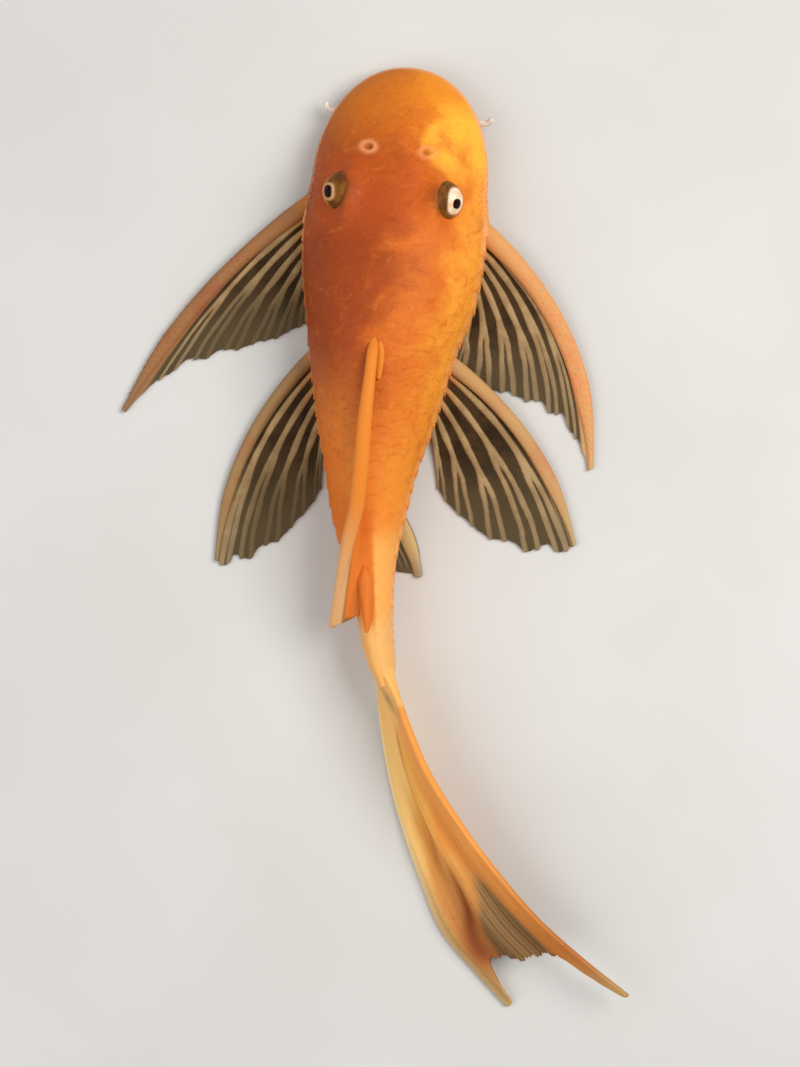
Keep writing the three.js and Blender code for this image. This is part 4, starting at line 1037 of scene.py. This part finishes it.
def build_lips():
    """The sucker mouth under the head: a soft rim round a cup with fine folds, and the mouth's slit."""
    rim, cup, wide, top = MOUTH["rim"], MOUTH["cup"], MOUTH["half_width"], SNOUT["chin"]
    profile = Curve([(0, cup), (0.3 * wide, cup), (wide - 1.9 * rim, cup * 0.9), (wide - 1.3 * rim, 0.1),
                     (wide - 0.8 * rim, 0), (wide - 0.35 * rim, 0), (wide, 0.4 * top),
                     (wide - 0.1 * rim, 0.8 * top), (wide - 0.6 * rim, top + 0.1)])
    radius, height = profile.at(np.linspace(0, 1, 90)).T
    radius, turn = grid(radius, np.linspace(0, 2 * np.pi, 240, endpoint=False))
    folds = 0.12 * np.cos(turn * MOUTH["folds"]) * bell(radius - wide + 0.6 * rim, 1.3)
    knobs = 0.1 * np.cos(turn * MOUTH["knobs"]) * np.cos(radius * 5.5)
    knobs = knobs * ease(1.5, 3, radius) * ease(wide - 0.3, wide - 2, radius)
    x, y = radius * np.cos(turn), radius * np.sin(turn) * MOUTH["half_length"] / wide
    slit = bell(y - 0.1 * MOUTH["half_length"], 0.35) * ease(3.6, 2.8, np.abs(x))
    centre = place(MOUTH["s"], 0, 0)
    z = np.maximum(height[:, None] + folds + knobs + 1.1 * slit, 0)
    points = np.stack([x + centre[0], y + centre[1], z], axis=-1)
    add_piece("lips", ["mouth_disc"], points, [grid_faces(*x.shape, wrap=True)], {}, lip_material())


def build_bristle(name, side, reach, forward, material):
    at = BRISTLE["s"]
    start = float(section(at)["half_width"]) - 0.6
    path = Curve([place(at, side * start, 3.0), place(at, side * (start + 0.9 + 0.5 * reach), 3.1),
                  place(at - forward, side * (start + 0.9 + reach), 3.5)])
    steps = np.linspace(0, 1, BRISTLE["steps"])
    taper = lerp(1, 0.85, steps) * np.sqrt(np.clip((1 - steps) / 0.12, 0.05, 1))
    points, faces = tube(path.at(steps), BRISTLE["width"] * taper, BRISTLE["sides"])
    add_piece(piece_name(name), [name], points, faces, {}, material)


# Fins


def build_blade(name, nodes, front, back, marks, material, flipped=False):
    """A thin fin between two grids of points that face each other."""
    marks = {key: np.stack([value, value]) for key, value in marks.items()}
    faces = slab_faces(*front.shape[:2])
    if flipped:
        faces = faces[:, ::-1]
    add_piece(name, nodes, np.stack([front, back]), [faces], marks, material)


def fan_directions(degrees, side):
    """Level directions along a fin's rays, at an angle from straight back, and across them, outwards."""
    angle = np.radians(degrees)
    flat = np.zeros_like(angle)
    along = np.stack([side * np.sin(angle), -np.cos(angle), flat], axis=-1)
    return along, np.stack([side * np.cos(angle), np.sin(angle), flat], axis=-1)


def fan_plan(fin, u, v, offset):
    """Points of a fan's underside, u rays from the spine and v along it, and their length along it."""
    t = np.clip(u / fin["rays"], 0, 1)
    s = lerp(*fin["root"], t)
    inset = lerp(*fin["inset"], np.sqrt(t))
    start = place(s, fin["side"] * (section(s)["half_width"] - inset), 0)
    length = fin["length"] * (1 - (1 - fin["shortest"]) * t ** fin["length_power"])
    along, out = fan_directions(fin["angle"] - fin["sweep"] * t ** fin["sweep_power"], fin["side"])
    bow = fin["bow"] * (1 - 0.6 * t) * length
    width = fin["spine_width"] * lerp(1.3, 1, ease(0, 0.35, v)) * lerp(1, 0.35, ease(0.7, 1, v))
    beyond = 1.5 * np.maximum(u - fin["rays"], 0)
    sideways = 4 * bow * v * (1 - v) - offset * width - beyond
    plan = start + along * (length * v)[..., None] + out * sideways[..., None]
    plan[..., 2] = lerp(*fin["heights"], np.sqrt(t)) * (1 - np.clip(v, 0, 1)) ** 1.4
    return plan, length * v


def ray_profile(fin, u, v, spacing):
    """How far a point is into a ray: 1 along its middle and 0 on the membrane."""
    nearest = np.clip(np.round(u), 1, fin["rays"])
    split = fin["split"] + 0.07 * np.sin(2.4 * nearest)
    branched = ease(split - 0.05, split + 0.12, v)
    into = np.zeros_like(u)
    width = lerp(fin["ray_width"], fin["branch_width"], branched) * lerp(0.85, 1, ease(0, 0.15, v))
    width = width * (1 + 0.08 * np.sin(21 * v + 2.1 * nearest))
    sway = (0.03 * np.sin(9 * v + 1.7 * nearest) + 0.01 * np.sin(27 * v + 3.1 * nearest)) * ease(0.1, 0.5, v)
    for way in (-1, 1):
        centre = nearest + sway + way * branched * lerp(0.15, 0.22, ease(split, 1, v))
        into = np.maximum(into, dome(np.abs(u - centre) * spacing / (width / 2)))
    return into


def spine_height(fin, offset, v):
    """Thickness of the spine at an offset from its middle, and how round it is there."""
    shape = dome(SPINE_ROUNDNESS * offset)
    return lerp(MEMBRANE, fin["spine_thickness"] * lerp(1, 0.5, v), shape), shape


def build_paired_fin(name, fin):
    spine_columns = np.linspace(-0.5, 0.5, 15)
    web = np.linspace(0, fin["rays"] + 0.22, int(26 * fin["rays"]))[1:]
    u = np.concatenate([np.zeros(len(spine_columns)), web])
    across = np.concatenate([spine_columns, np.full(len(web), 0.5)])
    u, v = grid(u, np.linspace(0, 1, 220))
    offset = across[:, None] * (1 - np.clip(u / SPINE_INNER, 0, 1))
    plan, _ = fan_plan(fin, u, v, offset)
    spacing = np.linalg.norm(np.gradient(plan, axis=0), axis=-1)
    spacing = spacing / np.maximum(np.gradient(u, axis=0), 1e-3)
    on_spine = u == 0
    ray = np.where(on_spine, 0, ray_profile(fin, u, v, np.clip(spacing, 0.5, 8)))
    free = 1 - np.maximum(ray, on_spine)
    ragged = 0.4 + 0.6 * np.abs(np.sin(np.pi * u)) + 0.3 * np.sin(7.3 * u) * np.sin(17 * u)
    notch = 0.02 * free * ease(0.8, 1, v) * ragged + 0.015 * ease(0.6, 1, u) * (1 + np.sin(5.1 * u))
    plan, length = fan_plan(fin, u, v * (1 - notch), offset)
    ridge = (fin["ray_thickness"] * lerp(1, 0.5, v) - MEMBRANE) * lerp(1, 0.6, ease(0.6, 1, v))
    on_stem, roundness = spine_height(fin, offset, v)
    lower, upper = plan.copy(), plan.copy()
    lower[..., 2] += 0.14 * (1 - np.maximum(ray, roundness * on_spine))
    upper[..., 2] = lower[..., 2] + np.where(on_spine, on_stem, MEMBRANE + ray * ridge)
    fade = ease(fin["fade"] - 0.25, fin["fade"] + 0.2, v) * ease(0.5, 2.5, u) * 0.9
    marks = {
        "ray": np.clip(ray * 1.35, 0, 1), "spine": np.where(on_spine, 1, ease(0.5, 0.15, u)),
        "along": v, "length": length, "fade": fin["fading"] * fade,
    }
    material = fin_material(name, fin["spine_colour"])
    build_blade(piece_name(name), [name], upper, lower, marks, material, flipped=fin["side"] > 0)


def build_fin_teeth(name, fin):
    """Rows of small teeth along the spine of a pectoral fin, each with its patch on the spine laid flat."""
    count = FIN_TEETH["per_row"]
    rows, steps = flat_grid(np.linspace(-0.42, 0.3, FIN_TEETH["rows"]), np.arange(count))
    rows = rows + 0.04 * np.sin(5 * steps)
    v = 0.3 + 0.66 * (steps + 0.5 * (rows > 0)) / count
    roots, ahead, outer = (
        fan_plan(fin, 0 * v, v + step, rows + offset)[0] for step, offset in ((0, 0), (0.01, 0), (0, -0.1))
    )
    roots[:, 2] += spine_height(fin, rows, v)[0]
    along, outward = (unit((point - roots) * [1, 1, 0]) for point in (ahead, outer))
    leans = along - 1.2 * rows[:, None] * outward + [0, 0, 0.25]
    uv = np.stack([0.5 + 0.2 * fin["side"] + 0.1 * rows, 0.02 + 0.96 * v], axis=-1)
    lengths = FIN_TEETH["length"] * (0.6 + 0.4 * v)
    points, faces, uv = thorns(roots, leans, lengths, FIN_TEETH["width"], uv, hook=0.2)
    marks = thorn_marks((0.0, 0.4, 0.9), along=v)
    material = fin_teeth_material(fin["spine_colour"])
    add_piece(piece_name(name) + "_odontodes", [name], points, faces, marks, material, uv)


def edge_at(edge, s):
    """Lateral and z of an edge of the dorsal fin at s."""
    return [track(edge["s"], edge[key])(s) for key in ("lateral", "z")]


def dorsal_point(u, v, face, thickness):
    """A ray leaves the back at its own root, and then lies in order below the spine."""
    spacing = (DORSAL["to_s"] - DORSAL["from_s"]) / DORSAL["rays"]
    tip = lerp(DORSAL["spine_tip"], DORSAL["last_tip"], (u / DORSAL["rays"]) ** 1.3)
    s = lerp(DORSAL["from_s"] + u * spacing, tip, v)
    risen = np.clip((s - DORSAL["from_s"]) / spacing, 1e-3, DORSAL["rays"])
    share = 1 - np.clip(u / risen, 0, 1)
    low, high = (np.stack(edge_at(edge, s), axis=-1) for edge in (DORSAL_FOOT, DORSAL_CREST))
    up = unit(high - low)
    out = np.stack([up[..., 1], -up[..., 0]], axis=-1)
    at = lerp(low, high, share[..., None]) + out * (face * thickness / 2)[..., None]
    return place(s, at[..., 0], at[..., 1]), s


def build_dorsal():
    u, v = grid(np.linspace(0, DORSAL["rays"], 113), np.linspace(0, 1, 240))
    thickness = DORSAL["web"] + DORSAL["ray"] * bell(u - np.round(u), 0.3)
    thickness = thickness * lerp(1, 0.55, ease(0.5, 1, v))
    (front, s), (back, _) = (dorsal_point(u, v, face, thickness) for face in (1, -1))
    rear = ease(66, 78, s)
    # Painted shadow: a dark line along the fold between the rays, and dark skin beyond the last rays' tips
    fold = bell(u - 2.8, 0.35) * ease(74, 78, s)
    shaded_scrap = ease(DORSAL["last_tip"] + 0.1, DORSAL["last_tip"] + 0.6, s) * ease(2.4, 3.2, u)
    marks = {"along": v * 0.9, "across": u / DORSAL["rays"], "clear": 0.85 * rear,
             "pale": 0.9 * ease(3.2, 2.4, u) * rear, "groove": 0.8 * np.maximum(0.8 * fold, shaded_scrap)}
    tones = [(224, 130, 40), (220, 122, 38), (210, 108, 32)]
    material = median_material("dorsal_fin", tones, (120, 84, 38), (216, 116, 38), (214, 166, 114))
    build_blade("dorsal_fin_rays", ["dorsal_fin"], front, back, marks, material)


def build_dorsal_spine():
    """The spine along the crest of the folded dorsal fin, and the small catch beside its root."""
    sides, steps = DORSAL["spine_sides"], DORSAL["catch_steps"]
    s = np.linspace(DORSAL["from_s"] - 0.6, DORSAL["spine_tip"], 180)
    lateral, z = edge_at(DORSAL_CREST, s)
    widths = DORSAL["spine_width"] * lerp(0.8, 1.15, ease(44, 62, s)) * lerp(1, 0.42, ease(66, 87, s))
    stem = tube(place(s, lateral, z - 0.35), widths * lerp(0.5, 1, ease(42, 45, s)), sides, flat=0.8)
    near = s[:steps]
    widths = DORSAL["catch_width"] * np.sin(np.linspace(0.2, np.pi - 0.25, steps)) ** 0.5
    beside = lerp(0.75, 1.15, ease(42, 45, near))
    catch = tube(place(near, beside, DORSAL["catch_z"]), widths, sides, flat=0.7)
    points, faces = joined([stem, catch])
    pale = np.concatenate([0.9 * ease(66, 79, s), np.zeros(steps)])
    marks = {"along": np.concatenate([s, near]) / 200, "pale": pale}
    marks = {key: np.repeat(values, sides) for key, values in marks.items()}
    orange = (224, 130, 40)
    material = median_material("dorsal_spine", [orange], orange, orange, (214, 166, 114))
    add_piece("dorsal_fin_spine", ["dorsal_fin"], points, faces, marks, material)


def build_adipose():
    """A low soft flap on the stalk, with a short free tip behind."""
    across, v = grid(np.sin(np.pi / 2 * np.linspace(0, 1, 30)), np.linspace(0, 1, 60))
    height = ADIPOSE["height"] * np.sin(np.pi / 2 * v**0.8)
    s = lerp(ADIPOSE["from_s"], lerp(ADIPOSE["to_s"], ADIPOSE["tip_s"], across), v)
    z = section(s)["top"] + lerp(lerp(-1, -0.6, v), height, across)
    width = 0.15 + ADIPOSE["width"] * dome(across) * lerp(1, 0.4, v**2) * ease(-0.05, 0.3, v)
    lean = ADIPOSE["lean"] * (1 + across * v)
    front, back = (place(s, lean + face * width / 2, z) for face in (1, -1))
    orange = (216, 114, 34)
    material = median_material("adipose_fin", [orange], orange, orange, orange)
    marks = {"along": 0.5 * v, "across": across}
    build_blade("adipose_fin_flap", ["adipose_fin"], front, back, marks, material, flipped=True)


def build_anal():
    """A small fan flat on the floor: a pale curved spine, and clear skin between four rays."""
    u, v = grid(np.linspace(-ANAL["spine"], ANAL["rays"], 120), np.linspace(0, 1, 110))
    t = np.clip(u / ANAL["rays"], 0, 1)
    along, out = fan_directions(ANAL["angle"] - ANAL["sweep"] * t, 1)
    length = ANAL["length"] * lerp(1, ANAL["shortest"], t)
    rays = 0.4 * bell(u - np.round(u), 0.13) * (u > 0.6) * (u < ANAL["rays"] - 0.4) * ease(1, 0.7, v)
    into = np.maximum(dome(u / ANAL["spine"]), rays)
    reach = v * (1 - 0.05 * (1 - into) * ease(0.75, 1, v))
    sideways = 4 * ANAL["bow"] * v * (1 - v) * (1 - 0.5 * t)
    sideways -= ANAL["spine_width"] * np.minimum(u / ANAL["spine"], 1) * lerp(1, 0.5, ease(0.6, 1, v))
    start = place(lerp(*ANAL["root"], t), 0, 0)
    lower = start + along * (length * reach)[..., None] + out * sideways[..., None]
    thickness = ANAL["web"] + into * ANAL["thickness"] * lerp(1, 0.6, v)
    upper = lower + thickness[..., None] * [0, 0, 1]
    marks = {"along": v, "across": t, "clear": 1 - np.clip(into * 1.5, 0, 1),
             "pale": 0.85 * into * ease(0.7, 1, v)}
    tones = [(200, 168, 114), (160, 132, 88)]
    # The clear skin's olive grey is partly its own and partly painted darkness of the ground seen through it
    material = median_material("anal_fin", tones, (60, 48, 24), (92, 78, 54), (150, 138, 112))
    build_blade("anal_fin_rays", ["anal_fin"], upper, lower, marks, material, flipped=True)


TAIL_EDGES = Curve(TAIL_LOWER), Curve(TAIL_UPPER)


def tail_point(w, t, thickness, face, past):
    """A point of the tail fin: w from its lower edge to its upper one, t along it, past beyond an edge."""
    low, high = (edge.at(t) for edge in TAIL_EDGES)
    across = unit(high - low)
    out = unit(np.cross(across, lerp(*(edge.tangent(t) for edge in TAIL_EDGES), w[..., None])))
    fold = TAIL["fold"] * ease(0.12, 0.5, t) * np.cos(2 * np.pi * (w - 0.1) / TAIL["fold_pitch"])
    inner = ease(0, 0.1, w) * ease(1, 0.66, w)
    push = -fold * inner + face * thickness / 2
    point = lerp(low, high, w[..., None]) + across * past[..., None] + out * push[..., None]
    point[..., 2] = np.maximum(point[..., 2], 0)
    return point


def tail_marks(w, t, ray):
    """Where the bands, streaks and clear skin of the tail fin lie. The groove and the streak are painted
    shadow along the fin's folds, and the pale band is partly a painted glow.
    """
    at = {key: track(*stations)(t) for key, stations in TAIL_MARKS.items()}
    wave = 0.015 * np.sin(31 * t + 9 * w)
    soft = lerp(5, 1, ease(0.05, 0.4, t))
    clear = ease(0.06, -0.04, np.abs(w - at["olive"]) - at["olive_width"] + wave) * ease(0.56, 0.62, t)
    return {
        "ray": ray,
        "along": t,
        "across": w,
        "pale": 0.92 * ease(0.07, -0.05, w - at["pale"] + wave),
        "orange": 0.9 * ease(-0.06 * soft, 0.05 * soft, w - at["orange"] + wave),
        "groove": 0.75 * bell(w - at["groove"] + wave, 0.045) * ease(0.12, 0.22, t) * ease(0.62, 0.5, t),
        "streak": 0.85 * bell(w - at["streak"] + wave, 0.07) * ease(0.5, 0.62, t) * ease(0.9, 0.8, t),
        "clear": clear,
        "dull": 0.75 * bell(t - 0.09, 0.045) * bell(w - 0.76, 0.2),
    }


def build_tail():
    last, margin, power = TAIL["rays"] - 1, TAIL["margin"], TAIL["root_power"]
    u, v = grid(np.linspace(-margin, last + margin, 226), np.linspace(0, 1, 210))
    inside = np.clip(u, 0, last)
    w = inside / last
    past = (u - inside) * 1.6
    from_edge = np.minimum(inside, last - inside)
    stout = bell(from_edge, 2.4)
    split = ease(0.5, 0.62, v)
    between = np.abs(inside - np.round(inside))
    into = np.clip(bell(between, 0.3) * (1 - split) + split * bell(between - 0.2 * split, 0.17), 0, 1)
    end = 1 - TAIL["fork"] * np.minimum(ease(0, 0.22, w), ease(0, 0.14, 1 - w))
    teeth = 0.7 * (1 - into) + 0.6 * (1 - bell(inside / 2 - np.round(inside / 2), 0.25)) - 0.3
    teeth = teeth * ease(0.8, 1, v) * ease(0.12, 0.3, w) * (1 - bell(from_edge, 0.8))
    t = v * end * (1 - TAIL["notch"] * teeth)
    marks = tail_marks(w, t, into)
    ridge = into * TAIL["ray"] * lerp(0.2, 1, marks["clear"]) * (1 - stout) + stout * TAIL["edge"]
    plain = TAIL["web"] + ridge * lerp(1, 0.5, v)
    from_middle = np.clip(np.abs(2 * u - last) / (last + 2 * margin), 0, 0.99)
    root = TAIL["root"] * (1 - from_middle**power) ** (1 / power)
    thickness = lerp(root, plain, ease(0, TAIL["root_reach"], t))
    front, back = (tail_point(w, t, thickness, face, past) for face in (1, -1))
    nodes = ["tail_fin_lower_lobe", "tail_fin_upper_lobe"]
    build_blade("tail_fin", nodes, front, back, marks, tail_material(), flipped=True)


# The camera, floor and lights


def build_stage():
    bpy.ops.mesh.primitive_plane_add(size=4.0, location=(0, 0, -0.0001))
    floor = bpy.context.object
    floor.name = "floor"
    floor.data.materials.append(floor_material())


def add_camera():
    data = bpy.data.cameras.new("camera")
    data.sensor_fit = "VERTICAL"
    data.sensor_height = CAMERA["sensor"]
    data.lens = CAMERA["lens"]
    data.clip_start = 0.01
    camera = bpy.data.objects.new("camera", data)
    tilt = math.radians(CAMERA["tilt"])
    target = np.array(CAMERA["target"])
    camera.location = to_scene(target + CAMERA["distance"] * np.array([math.sin(tilt), 0, math.cos(tilt)]))
    camera.rotation_euler = (0, tilt, 0)
    bpy.context.scene.collection.objects.link(camera)
    bpy.context.scene.camera = camera


def add_light(name, location, size, watts, tint):
    data = bpy.data.lights.new(name, "AREA")
    data.size = size
    data.energy = watts
    data.color = tint
    light = bpy.data.objects.new(name, data)
    light.location = location
    light.rotation_euler = (-Vector(location)).to_track_quat("-Z", "Y").to_euler()
    bpy.context.scene.collection.objects.link(light)


def light_scene():
    for name, sizes in LIGHTS.items():
        add_light(name, *sizes)
    world = bpy.data.worlds.new("studio")
    world.use_nodes = True
    for key, value in SKY.items():
        world.node_tree.nodes["Background"].inputs[key].default_value = value
    bpy.context.scene.world = world
    bpy.context.scene.view_settings.view_transform = "Standard"


build_stage()
add_camera()
light_scene()
skin = Skin()
build_skin(skin)
build_teeth(skin)
eyes = eye_material()
build_eye(-1, "eye_left", eyes)
build_eye(1, "eye_right", eyes)
build_lips()
bristles = bristle_material()
for bristle_name, bristle_sizes in BRISTLES.items():
    build_bristle(bristle_name, *bristle_sizes, bristles)
for fin_name, own_sizes in FINS.items():
    fin_sizes = {**FIN_BASE, **own_sizes}
    build_paired_fin(fin_name, fin_sizes)
    if fin_name.startswith("pectoral"):
        build_fin_teeth(fin_name, fin_sizes)
build_dorsal()
build_dorsal_spine()
build_adipose()
build_anal()
build_tail()
